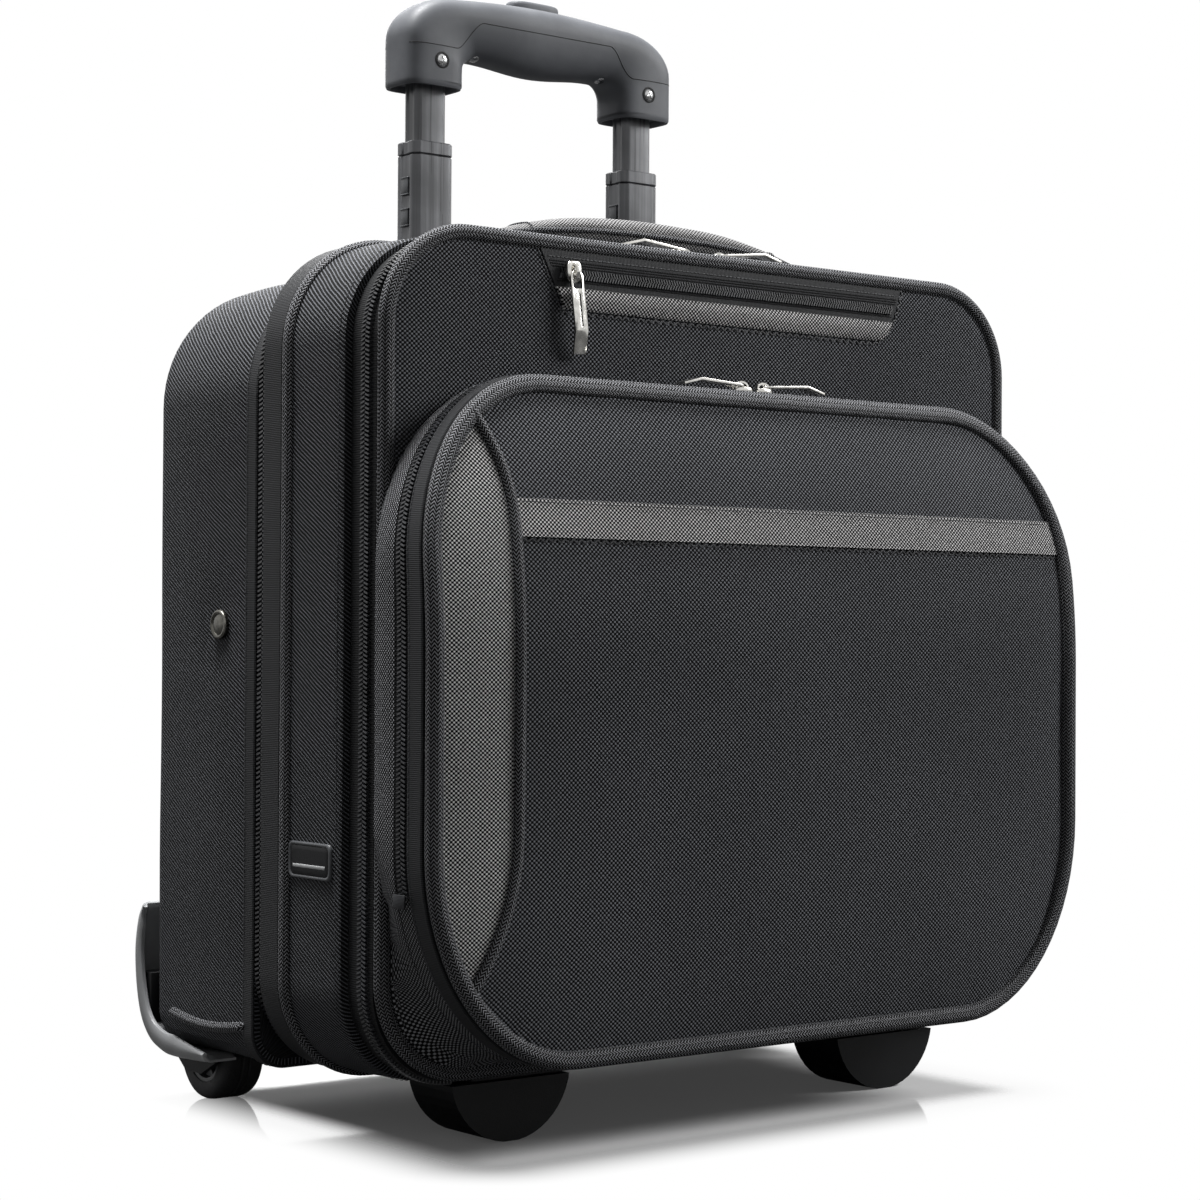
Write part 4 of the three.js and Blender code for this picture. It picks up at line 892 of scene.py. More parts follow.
# ---------- main zip ----------
main_loop = Loop(*MAIN_ZIP)
board_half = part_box("base_board")[1].x
open_from = next(i for i, p in enumerate(main_loop.points) if p[0] > board_half)
open_to = len(main_loop.points) - open_from
start_s, end_s = main_loop.s[open_from], main_loop.s[open_to]
for name, y0, y1, side, body, node in (
        ("rear", MAIN_MEET + 0.2 * MM, MIDDLE_FRONT - 0.1 * MM, 1, "case", "main_zip_rear_half"),
        ("front", PANEL_SEAM + 0.2 * MM, MAIN_MEET - 0.2 * MM, -1, "front_lid", "main_zip_front_half")):
    near, far = (y0, y1) if side > 0 else (y1, y0)
    swept(f"main_zip_{name}_tape", TAPE, body, "coil", main_loop,
          [(-3.4 * MM, near), (-1.6 * MM, near), (-1.0 * MM, lerp(near, far, 0.35)), (-1.5 * MM, far),
           (-3.4 * MM, far)], (node,), first=open_from, last=open_to)
    coil_piece(f"main_zip_{name}_coil", body, main_loop, -1.3 * MM, MAIN_MEET, (side,), start_s, end_s, MAIN_COIL)

# a web of ribbon joins the lid to the case along the bottom
y0, y1 = lo_y("middle_shell"), MIDDLE_FRONT + 2 * MM
web_low = MIDDLE[0][1] + 0.8 * MM
web_xs = [lerp(-board_half, board_half, i / 40) for i in range(41)]
bottom = [(lerp(y0, y1, k / 12), web_low) for k in range(13)]
around = bottom + [(y, z + 1.6 * MM) for y, z in reversed(bottom)]
hinge_web = made(Build.solid, [[(x, y, z) for y, z in around] for x in web_xs], web_xs,
                 [lerp(0, 0.05, k / 26) for k in range(27)]).done("hinge_web", RIBBON, None, "ballistic")
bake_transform(hinge_web)


# ---------- inside ----------
def lining_pad(name, node, corners, height):
    """A padded board covered with lining cloth."""
    lo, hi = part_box(node)
    loop = Loop((hi.x, lo.z, hi.z), corners)
    piece = face_rings(loop, lambda x, z: lo.y + 1.2 * MM - crown(loop.depth_in(x, z), height, 14 * MM), 0.2 * MM,
                       lambda x, z: hi.y - 0.4 * MM)
    return piece.done(name, [LINING, LINING], "case", "lining", (node,))


divider = lining_pad("divider_pad", "divider_panel", (48 * MM, 48 * MM, 43 * MM, 43 * MM), 1.2 * MM)
lining_pad("trolley_cover", "trolley_lining", (61 * MM, 61 * MM, 14 * MM, 14 * MM), 0.8 * MM)


# ---------- front panel ----------
panel = face_rings(PANEL_LOOP, panel_y, 5.2 * MM, lambda x, z: PANEL_SEAM - 0.4 * MM)
panel = panel.done("front_panel_pad", [BALLISTIC, LINING], "front_lid", "ballistic", ("front_panel",))
swept("panel_braid", BRAID, "front_lid", "piping", PANEL_LOOP,
      oval(-4.0 * MM, (PANEL_SEAM + lo_y("front_piping")) / 2, 4.1 * MM, 3.9 * MM, 18), ("front_piping",))


# ---------- organiser compartment ----------
ZIP_LO, ZIP_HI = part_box("organiser_zip")
STRIP_LO, STRIP_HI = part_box("organiser_strip")
ORG_TOP, ORG_LOW = ZIP_HI.z + 5 * MM, STRIP_LO.z
TEETH_LOW, TEETH_TOP = ZIP_LO.z + 2 * MM, ZIP_HI.z - 2 * MM


def organiser_left(z):
    return STRIP_LO.x - 14 * MM * (z - ORG_LOW) / (ORG_TOP - ORG_LOW)


def organiser_right(z):
    return STRIP_HI.x - 16 * MM + 21 * MM * math.sqrt(share_of(z, ORG_LOW, ORG_TOP))


made(patch, organiser_left, organiser_right, STRIP_HI.z - 0.4 * MM, ORG_TOP, panel_y, 0.6 * MM, nz=10).done(
    "organiser_tape", RIBBON, "front_lid", "coil", ("organiser_zip",))


def rolled(x, z, lift=0.0):
    """The grey strip is folded over, so it bulges between its edges."""
    return panel_y(x, z, lift + 1.7 * MM * math.sin(math.pi * share_of(z, ORG_LOW, STRIP_HI.z)) ** 0.7)


made(patch, organiser_left, organiser_right, ORG_LOW, STRIP_HI.z, rolled, 1.0 * MM, nz=12).done(
    "organiser_trim", GREY, "front_lid", "grey_fabric", ("organiser_strip",))
teeth = Build()
TEETH_MID = lerp(TEETH_LOW, TEETH_TOP, 0.42)
verts, faces = bar_shape(2.9 * MM, 1.1 * MM, 0.9 * MM)
x = organiser_left(TEETH_LOW) + 5 * MM
while x < organiser_right(TEETH_LOW) - 1 * MM:
    for row in (-1, 1):
        z = TEETH_MID + row * 1.2 * MM
        lie = frame_at((x + 0.4 * MM * row, panel_y(x, z, 0.8 * MM), z), (1, 0, 0), (0, -1, 0))
        teeth.shape(verts, faces, turned(lie, 22 * row))
    x += 1.7 * MM
teeth.done("organiser_coil", COIL, "front_lid", "coil")
ridges = Build()
for rise in (-3.6 * MM, 3.4 * MM, 4.7 * MM, 6.0 * MM):
    z = TEETH_MID + rise
    x0, x1 = organiser_left(z) + 3 * MM, organiser_right(z) - 2 * MM
    xs = [lerp(x0, x1, k / 50) for k in range(51)]
    tube_along(ridges, [(x, panel_y(x, z, 0.55 * MM), z) for x in xs], 0.42 * MM, 6)
ridges.done("organiser_tape_ribs", TAPE, "front_lid", "coil")
seam = Build()
low = [(lerp(organiser_left(ORG_LOW), organiser_right(ORG_LOW), i / 40), ORG_LOW - 1.6 * MM) for i in range(41)]
end = [(organiser_right(lerp(ORG_LOW, ORG_TOP, i / 10)) + 1.2 * MM, lerp(ORG_LOW - 1 * MM, ORG_TOP, i / 10))
       for i in range(11)]
line_stitches(seam, low + end, panel_y, 0.1 * MM, *ZIGZAG_STITCH)
start = [(organiser_left(ORG_LOW) - 1.2 * MM, ORG_LOW), (organiser_left(ORG_TOP) - 1.2 * MM, ORG_TOP)]
line_stitches(seam, start, panel_y, 0.1 * MM, 2.4 * MM, 2.0 * MM, 0.6 * MM)
above = [(lerp(organiser_left(ORG_TOP), organiser_right(ORG_TOP), i / 40), TEETH_TOP + 2.2 * MM)
         for i in range(1, 40)]
line_stitches(seam, above, panel_y, 0.7 * MM, *SEAM_STITCH)
seam.done("organiser_stitches", THREAD, "front_lid", "piping")


# ---------- pocket walls ----------
POCKET_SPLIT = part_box("pocket_zip_front_half")[0].z
open_from = next(i for i, p in enumerate(POCKET_LOOP.points) if p[0] > 0 and p[1] > POCKET_SPLIT)
open_to = len(POCKET_LOOP.points) - open_from
start_s, end_s = POCKET_LOOP.s[open_from], POCKET_LOOP.s[open_to]
WALL_TOP = PANEL_FACE - 0.6 * MM
GUSSET_FRONT = POCKET_MEET + 6 * MM
TRIM_BACK = POCKET_MEET - 4.6 * MM
TRIM_FRONT = hi_y("pocket_insert") - 8.2 * MM


def wall_in(y):
    """How far the pocket's wall lies inside its outline at a depth."""
    return -2.5 * MM * share_of(y, GUSSET_FRONT, WALL_TOP) ** 2


PANEL_RIM = Loop(*PANEL, inset=6.5 * MM).points


def flared(x, y, z):
    """Towards the lower corners the pocket's wall widens to meet the panel's edge."""
    low = share_of(z, POCKET_SPLIT + 30 * MM, POCKET_SPLIT - 30 * MM)
    weight = share_of(y, GUSSET_FRONT, WALL_TOP) ** 1.5 * low * low * (3 - 2 * low)
    if weight > 0:
        rim = min(PANEL_RIM, key=lambda p: math.hypot(p[0] - x, p[1] - z))
        x, z = lerp(x, rim[0], weight), lerp(z, rim[1], weight)
    return tapered(x, y, z)


steps = [lerp(WALL_TOP, GUSSET_FRONT, k / 8) for k in range(9)]
outer = [(wall_in(y), y) for y in steps]
inner = [(wall_in(y) - 1.8 * MM, y) for y in reversed(steps)]
swept("pocket_gusset_cloth", BASKET, "front_lid", "ballistic", POCKET_LOOP, outer + inner, ("pocket_gusset",),
      bend=flared, ripple=0.3 * MM)
for name, side, y0, y1, body, nodes in (
        ("rear", 1, POCKET_MEET + 0.2 * MM, GUSSET_FRONT - 0.1 * MM, "front_lid", ()),
        ("front", -1, POCKET_MEET - 0.2 * MM, TRIM_BACK + 0.1 * MM, "pocket_flap", ("pocket_zip_front_half",))):
    swept(f"pocket_zip_{name}_tape", TAPE, body, "coil", POCKET_LOOP,
          [(-2.8 * MM, y0), (-1.7 * MM, y0), (-1.2 * MM, lerp(y0, y1, 0.5)), (-0.5 * MM, y1), (-2.8 * MM, y1)],
          nodes, bend=tapered, first=open_from, last=open_to)
    coil_piece(f"pocket_zip_{name}_coil", body, POCKET_LOOP, -1.6 * MM, POCKET_MEET, (side,), start_s, end_s,
               POCKET_COIL, tapered)
base_wall = swept("pocket_base_cloth", BASKET, None, "ballistic", POCKET_LOOP,
                  strip(-2.6 * MM, -0.3 * MM, TRIM_BACK - 0.2 * MM, GUSSET_FRONT + 0.3 * MM), bend=tapered,
                  first=-open_from, last=open_from)
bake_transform(base_wall)
swept("pocket_trim", RIBBON, "pocket_flap", "piping", POCKET_LOOP,
      strip(-2.4 * MM, 0.3 * MM, TRIM_FRONT, TRIM_BACK), bend=tapered, ripple=0.15 * MM)
made(stitches, POCKET_LOOP, 0.25 * MM, TRIM_BACK - 1.6 * MM, *SEAM_STITCH, bend=tapered).done(
    "pocket_trim_stitches", THREAD, "pocket_flap", "piping")
ends = Build()
for _, s in SIDES:
    x0, x1 = sorted((s * POCKET[0][0], s * (POCKET[0][0] + 0.6 * MM)))
    ends.shape(*block((x0 - 0.4 * MM, TRIM_BACK, POCKET_SPLIT - 5 * MM),
                      (x1, GUSSET_FRONT - 1 * MM, POCKET_SPLIT + 1.5 * MM)))
zip_ends = ends.done("pocket_zip_ends", RIBBON, None, "piping")
bevelled(zip_ends, 0.4 * MM)
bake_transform(zip_ends)


# ---------- pocket front ----------
pad = face_rings(POCKET_LOOP, pocket_y, 5.4 * MM, lambda x, z: tapered(x, POCKET_FACE + 8 * MM, z)[1])
pad = pad.done("pocket_front_pad", [BALLISTIC, LINING], "pocket_flap", "ballistic", ("pocket_front",))
swept("pocket_braid", BRAID, "pocket_flap", "piping", POCKET_LOOP,
      oval(-4.2 * MM, lo_y("pocket_piping") + 4.1 * MM, 4.4 * MM, 4.2 * MM, 18), ("pocket_piping",), bend=tapered)

LENS_LO, LENS_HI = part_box("pocket_insert")
LENS_TIP = LENS_HI.x - 26 * MM


def lens_left(z):
    """Where the pocket's piping begins on its left side at a height."""
    inside, outside = 0.0, -POCKET_LOOP.size[0]
    for _ in range(30):
        x = (inside + outside) / 2
        if POCKET_LOOP.depth_in(x, z) > 5.5 * MM:
            inside = x
        else:
            outside = x
    return inside


def lens_edge(z):
    """The line of the braid that ends the grey insert, fullest near its middle."""
    u = (z - LENS_LO.z) / (LENS_HI.z - LENS_LO.z)
    return (LENS_TIP + 15 * MM - 9 * MM * (max(0.0, u - 0.85) / 0.15) ** 2 - 3 * MM * (1 - u)
            - 26 * MM * (max(0.0, 0.3 - u) / 0.3) ** 2)


def lens_right(z):
    """The insert's right side, which stays right of its left side at the tips."""
    return max(lens_edge(z), lens_left(z) + 0.4 * MM)


heights = [LENS_LO.z + (k - 12) * MM for k in range(400)]
inside = [z for z in heights if z < LENS_HI.z + 14 * MM and lens_edge(z) > lens_left(z) + 1 * MM]
LENS_LOW, LENS_TOP = inside[0], inside[-1]
made(patch, lens_left, lens_right, LENS_LOW, LENS_TOP, pocket_y, 0.7 * MM, nx=12, nz=60).done(
    "pocket_side_insert", GREY, "pocket_flap", "grey_fabric", ("pocket_insert",))
points = []
for i in range(61):
    z = lerp(LENS_LOW - 3 * MM, LENS_TOP + 3 * MM, i / 60)
    x = lens_edge(z) + 1.0 * MM
    points.append((x, pocket_y(x, z) - 0.3 * MM, z))
made(tube_along, points, 3.3 * MM, 14, flat=0.85).done("insert_braid", BRAID, "pocket_flap", "piping")

BAND_LO, BAND_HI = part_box("pocket_band")


def band_left(z):
    return lens_right(z) + 2.5 * MM


BAND_RIGHT = BAND_HI.x + 2 * MM
made(patch, band_left, lambda z: BAND_RIGHT, BAND_LO.z, BAND_HI.z, pocket_y, 1.3 * MM).done(
    "pocket_cross_band", GREY, "pocket_flap", "grey_fabric", ("pocket_band",))
seam = Build()
low = [(lerp(band_left(BAND_LO.z) + 2 * MM, BAND_RIGHT - 3 * MM, i / 50), BAND_LO.z - 1.6 * MM) for i in range(51)]
line_stitches(seam, low, pocket_y, 0.1 * MM, *ZIGZAG_STITCH)
top = [(x, BAND_HI.z - 1.6 * MM) for x, _ in low]
line_stitches(seam, top, pocket_y, 1.45 * MM, *SEAM_STITCH)
seam.done("band_stitches", THREAD, "pocket_flap", "piping")


# ---------- telescopic handle ----------
def rounded(points, radius, steps=3):
    """Rounds each corner of a closed outline."""
    out = []
    n = len(points)
    for i in range(n):
        p, q, r = Vector(points[i - 1]), Vector(points[i]), Vector(points[(i + 1) % n])
        a, b = (p - q), (r - q)
        cut = min(radius, a.length * 0.45, b.length * 0.45)
        start, end = q + a.normalized() * cut, q + b.normalized() * cut
        for k in range(steps + 1):
            t = k / steps
            out.append(tuple((1 - t) ** 2 * start + 2 * t * (1 - t) * q + t * t * end))
    return out


def tube(name, node, body, chamfer, groove):
    """A handle tube: a chamfered box with a shallow groove down each narrow face."""
    lo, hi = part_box(node)
    cx, cy = (lo.x + hi.x) / 2, (lo.y + hi.y) / 2
    w, d = (hi.x - lo.x) / 2, (hi.y - lo.y) / 2
    dip = 0.8 * MM
    half = [(w, -d + chamfer), (w, -groove), (w - dip, -groove + dip), (w - dip, groove - dip), (w, groove),
            (w, d - chamfer), (w - chamfer, d)]
    section = rounded(half + [(-x, y) for x, y in reversed(half)] + [(-w + chamfer, -d), (w - chamfer, -d)], 0.7 * MM)
    rows = []
    for z, inset in ((lo.z, 0.5 * MM), (lo.z + 0.5 * MM, 0.0), (hi.z - 0.5 * MM, 0.0), (hi.z, 0.5 * MM)):
        rows.append([(cx + x * (1 - inset / w), cy + y * (1 - inset / d), z) for x, y in section])
    made(Build.solid, rows, [r[0][2] for r in rows], lengths(section)).done(
        name, TUBE, body, "tube", (node,), sharp=35)


for side, _ in SIDES:
    tube(f"middle_profile_{side}", f"middle_tube_{side}", "trolley_middle", 3.4 * MM, 4.6 * MM)
    tube(f"inner_profile_{side}", f"inner_tube_{side}", "trolley_upper", 2.6 * MM, 3.0 * MM)
    tube(f"tube_collar_{side}", f"middle_collar_{side}", "trolley_middle", 3.2 * MM, 3.0 * MM)
    lo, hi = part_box(f"middle_tube_{side}")
    build = Build()
    mid = (lo.y + hi.y) / 2
    for z1 in (hi.z - 12 * MM, hi.z - 29 * MM):
        for out, half, z0, z in ((0.5, 3.6, z1 - MM, z1), (0.5, 3.6, z1 - 10 * MM, z1 - 9 * MM),
                                 (0.2, 3.2, z1 - 9 * MM, z1)):
            build.shape(*block((lo.x - out * MM, mid - half * MM, z0), (lo.x + 1.2 * MM, mid + half * MM, z)))
    detents = build.done(f"tube_detents_{side}", HUB, None, "black_plastic")
    bevelled(detents, 0.3 * MM)
    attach(detents, "trolley_middle")

GRIP_LO, GRIP_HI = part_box("grip_lower")
GRIP_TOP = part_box("grip_upper")[1].z
GRIP_Y = (GRIP_LO.y + GRIP_HI.y) / 2
GRIP_HW, GRIP_HD, GRIP_LOW = GRIP_HI.x, (GRIP_HI.y - GRIP_LO.y) / 2, GRIP_LO.z
LEG_IN, BRIDGE_LOW = GRIP_HW - 37 * MM, GRIP_LOW + 19 * MM


def grip_curves():
    """Points of the grip's inner and outer edges, from the foot of the left leg to the middle of the bridge."""
    inner, outer = [], []
    for k in range(6):
        z = lerp(GRIP_LOW, BRIDGE_LOW - 11 * MM, k / 6)
        inner.append((-LEG_IN, z))
        outer.append((-GRIP_HW, lerp(GRIP_LOW, GRIP_TOP - 27 * MM, k / 6)))
    for ease, sine in quarter(13):
        inner.append((-LEG_IN + 12 * MM * ease, BRIDGE_LOW - 11 * MM + 11 * MM * sine))
        outer.append((-GRIP_HW + 34 * MM * ease, GRIP_TOP - 27 * MM + 24 * MM * sine))
    for k in range(1, 11):
        t = k / 10
        inner.append((lerp(-LEG_IN + 12 * MM, 0, t), BRIDGE_LOW - 3.2 * MM * math.sin(math.pi / 2 * t) ** 2))
        outer.append((lerp(-GRIP_HW + 34 * MM, 0, t), GRIP_TOP - 3 * MM + 3 * MM * math.sin(math.pi / 2 * t)))
    return inner, outer


def grip_section(inner, outer, bridge, shrink=1.0):
    """A rounded section between the grip's two edges: squarer on a leg (bridge 0) than on the bridge (1)."""
    mid = Vector(((inner[0] + outer[0]) / 2, 0, (inner[1] + outer[1]) / 2))
    reach = Vector((outer[0] - inner[0], 0, outer[1] - inner[1])) / 2
    ring = []
    power = 2 / lerp(4.2, 3.0, bridge)
    for _, _, u, v in superellipse(40, power, power):
        waist = 1 - 0.24 * bridge * max(0.0, (0.35 - u) / 1.35) ** 1.4
        p = mid + reach * u * shrink + Vector((0, GRIP_HD * v * waist * shrink, 0))
        ring.append((p.x, GRIP_Y + p.y, p.z))
    return ring


def mirrored(rings):
    return [[(-x, y, z) for x, y, z in ring] for ring in reversed(rings)]


stations = list(zip(*grip_curves()))
rings = [grip_section(a, b, share_of(k, 7, 17)) for k, (a, b) in enumerate(stations)]
feet = []
for shrink, rise in ((0.84, 3.2 * MM), (0.87, 0.2 * MM), (0.90, 0.0), (0.965, 0.0), (0.995, 1.2 * MM)):
    feet.append([(x, y, z + rise) for x, y, z in grip_section(*stations[0], 0.0, shrink)])
feet.append([(x, y, z + 3.0 * MM) for x, y, z in rings[0]])
half_grip = feet + rings[1:]
all_rings = half_grip + mirrored(half_grip[:-1])
grip = made(Build.solid, all_rings, [k * 6 * MM for k in range(len(all_rings))],
            [k * 2.5 * MM for k in range(41)]).done(
    "grip_shell", GRIP, "trolley_upper", "grip_plastic", ("grip_lower", "grip_upper"), sharp=60)
grip_faces = BVHTree.FromPolygons([v.co.copy() for v in grip.data.vertices],
                                  [tuple(p.vertices) for p in grip.data.polygons])


def on_grip(x, z, front=True):
    """The point of the grip's front or rear face at x, z, and the face's direction there."""
    s = 1 if front else -1
    hit, normal, _, _ = grip_faces.ray_cast(Vector((x, GRIP_Y - s * 0.2, z)), Vector((0, s, 0)))
    return hit, normal


PART_END, PART_MID = GRIP_LOW + 22 * MM, GRIP_LOW + 38 * MM


def parting(x):
    """Height of the line between the grip's two parts."""
    t = share_of(abs(x), GRIP_HW - 48 * MM, GRIP_HW - 30 * MM)
    return lerp(PART_MID, PART_END, t * t * (3 - 2 * t))


build = Build()
for front in (True, False):
    path_points = []
    for i in range(121):
        x = lerp(-GRIP_HW + 1.2 * MM, GRIP_HW - 1.2 * MM, i / 120)
        hit, normal = on_grip(x, parting(x), front)
        if hit:
            path_points.append(hit - normal * 0.06 * MM)
    tube_along(build, path_points, 0.28 * MM, 8)
build.done("grip_parting_line", GROOVE, "trolley_upper", "grip_plastic")

build = Build()
for x in (-44 * MM, 44 * MM):
    hit, normal, _, _ = grip_faces.ray_cast(Vector((x, GRIP_Y - 6 * MM, GRIP_LOW - 0.05)), Vector((0, 0, 1)))
    if hit:
        lathe(build, hit, normal, [(0.0, 0.9), (1.4, 0.75), (2.6, 0.3), (3.2, -0.4), (3.2, -0.8)], 24)
build.done("bridge_screws", STEEL, "trolley_upper", "steel")


def screw(side):
    """A cross-headed screw in a dark seat."""
    centre = middle_of(f"grip_screw_{side}")
    hit, _ = on_grip(centre.x, centre.z)
    seat = Build()
    lathe(seat, hit + Vector((0, 0.1 * MM, 0)), Vector((0, -1, 0)),
          [(4.6, -0.4), (4.6, 0.25), (4.3, 0.5), (3.7, 0.5), (3.5, 0.1), (3.5, -0.4)], 32, closed=True)
    seat.done(f"screw_seat_{side}", GROOVE, "trolley_upper", "grip_plastic")
    head = Build()
    lathe(head, hit, Vector((0, -1, 0)), [(0.0, 1.15), (1.4, 1.05), (2.5, 0.75), (3.1, 0.3), (3.3, -0.6)], 32)
    piece = head.done(f"screw_head_{side}", STEEL, None, "steel", (f"grip_screw_{side}",))
    slot_bar = block((-1.9 * MM, -0.35 * MM, 0.5 * MM), (1.9 * MM, 0.35 * MM, 2 * MM))
    for angle in (20, 110):
        carve(piece, *slot_bar, turned(frame_at(hit, (1, 0, 0), (0, -1, 0)), angle))
    piece.data.set_sharp_from_angle(angle=math.radians(40))
    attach(piece, "trolley_upper")


for side, _ in SIDES:
    screw(side)

lo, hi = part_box("grip_button")
centre, hx, hy = (lo + hi) / 2, (hi.x - lo.x) / 2, (hi.y - lo.y) / 2
rows = []
for z, share in ((lo.z, 0.98), (hi.z - 3.2 * MM, 1.0), (hi.z - 1.8 * MM, 0.985), (hi.z - 0.8 * MM, 0.94),
                 (hi.z - 0.2 * MM, 0.86), (hi.z, 0.72), (hi.z - 0.15 * MM, 0.4), (hi.z - 0.2 * MM, 0.1)):
    inset = hy * (1 - share)
    rows.append([(centre.x + u * (hx - inset), centre.y + v * (hy - inset), z)
                 for _, _, u, v in superellipse(48, 0.6, 0.7)])
made(Build.solid, rows, [r[0][2] for r in rows], [k * MM for k in range(49)]).done(
    "button_cap", GRIP, "button", "grip_plastic", ("grip_button",), sharp=50)


# ---------- padded carry handle ----------
def carry_handle():
    """The padded bow, with a braid down each side and a cord round each end."""
    lo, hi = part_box("carry_handle")
    cy, half_x, half_y = (lo.y + hi.y) / 2, hi.x, (hi.y - lo.y) / 2
    low, end_top, rise = lo.z + 0.2 * MM, lo.z + 5.2 * MM, 12.6 * MM

    def ring(x, grow=0.0):
        t = min(1.0, abs(x) / half_x)
        top = end_top + rise * (1 - t ** 2.6)
        mid, h = (top + low) / 2, (top - low) / 2 + grow
        d = half_y * (1 - 0.22 * t ** 3) - 0.3 * MM + grow
        points = []
        for c, s, u, v in superellipse(36, 0.72, 0.8):
            wave = 0.35 * MM * noise.noise(Vector((x * 25, c * 2, s * 2)))
            points.append((x, cy + u * (d + wave), mid + v * (h + wave)))
        return points

    xs = [lerp(-half_x, half_x, i / 70) for i in range(71)]
    rows = [ring(x) for x in xs]
    pad = made(Build.solid, rows, xs, lengths(rows[35], 3)).done(
        "carry_handle_pad", PAD, "top_handle", "grey_fabric", ("carry_handle",), sharp=60)
    seams = Build()
    for k, out in ((0, 0.2 * MM), (18, -0.2 * MM)):
        tube_along(seams, [(r[k][0], r[k][1] + out, r[k][2]) for r in rows[1:-1]], 1.3 * MM, 8)
    for x in (-half_x + 14 * MM, half_x - 14 * MM):
        loop = ring(x, 0.3 * MM)
        tube_along(seams, loop + loop[:2], 0.55 * MM, 6)
    seams.done("carry_handle_seams", CHAIN, "top_handle", "piping")


carry_handle()


def handle_anchor(side):
    """A ribbon tab that holds one end of the handle, with a crossed box of stitches."""
    lo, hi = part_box(f"handle_anchor_{side}")
    half_y, rise, steps = (hi.y - lo.y) / 2, hi.z - lo.z, 14

    def inward(x):
        t = (x - lo.x) / (hi.x - lo.x)
        return t if side == "left" else 1 - t

    rows = []
    for i in range(steps + 1):
        x = lerp(lo.x, hi.x, i / steps)
        share = inward(x)
        top = lo.z + 3.2 * MM + (rise - 3.4 * MM) * share ** 2.2
        low = lo.z + 0.2 * MM + max(0.0, rise - 6.4 * MM) * share ** 2.2
        rows.append([(x, (lo.y + hi.y) / 2 + u * (half_y - 2.2 * MM * share), (top + low) / 2 + v * (top - low) / 2)
                     for _, _, u, v in superellipse(20, 0.3, 0.5)])
    made(Build.solid, rows, [r[0][0] for r in rows], [k * 3 * MM for k in range(21)]).done(
        f"handle_tab_{side}", RIBBON, "case", "piping", (f"handle_anchor_{side}",))
    stitch = Build()
    verts, faces = bar_shape(0.6 * MM, 2.0 * MM, 0.5 * MM)
    outer, step = (lo.x + 3 * MM, 9 * MM) if side == "left" else (hi.x - 3 * MM, -9 * MM)
    inner = outer + step
    y0, y1 = lo.y + 3.5 * MM, hi.y - 3.5 * MM
    lines = [((outer, y0), (outer, y1)), ((inner, y0), (inner, y1)), ((outer, y0), (inner, y0)),
             ((outer, y1), (inner, y1)), ((outer, y0), (inner, y1)), ((outer, y1), (inner, y0))]
    for (x0, ya), (x1, yb) in lines:
        run = math.hypot(x1 - x0, yb - ya)
        for k in range(int(run / (2.4 * MM)) + 1):
            t = min(1.0, k * 2.4 * MM / run)
            x = lerp(x0, x1, t)
            z = lo.z + 3.1 * MM + (rise - 3.4 * MM) * inward(x) ** 2.2
            stitch.shape(verts, faces, frame_at((x, lerp(ya, yb, t), z), (-(yb - ya), x1 - x0, 0), (0, 0, 1)))
    stitch.done(f"handle_tab_stitches_{side}", THREAD, "case", "piping")


for side, _ in SIDES:
    handle_anchor(side)


# ---------- zip hardware ----------
KINK = 29.0


def plate(build, parts, matrix, thick, lift):
    """Thin plates from flat outlines with holes, joined at KINK, shaped by lift(x) along their length."""
    for outline, holes in parts:
        loops = [outline] + holes
        flat = [(x * MM, y * MM) for loop in loops for x, y in loop]
        tris = tessellate_polygon([[Vector((x, y, 0)) for x, y in loop] for loop in loops])
        base, count = len(build.verts), len(flat)
        for level in (-thick / 2, thick / 2):
            for x, y in flat:
                build.verts.append(tuple(matrix @ Vector((x, y, lift(x / MM) * MM + level))))
        for tri in tris:
            low_face = [base + i for i in tri]
            build.cap(low_face)
            build.cap([i + count for i in reversed(low_face)])
        first = 0
        for loop in loops:
            n = len(loop)
            for i in range(n):
                a, b = first + i, first + (i + 1) % n
                if all(abs(flat[v][0] - KINK * MM) < 1e-6 for v in (a, b)):
                    continue
                build.cap([base + a, base + b, base + b + count, base + a + count])
            first += n


# flat outlines, in millimetres
def arc_2d(cx, cy, r, a0, a1, n):
    angles = [math.radians(lerp(a0, a1, k / n)) for k in range(n + 1)]
    return [(cx + r * math.cos(a), cy + r * math.sin(a)) for a in angles]


def rounded_box_2d(x0, x1, y0, y1, r, n=4):
    return (arc_2d(x1 - r, y1 - r, r, 0, 90, n) + arc_2d(x0 + r, y1 - r, r, 90, 180, n)
            + arc_2d(x0 + r, y0 + r, r, 180, 270, n) + arc_2d(x1 - r, y0 + r, r, 270, 360, n))


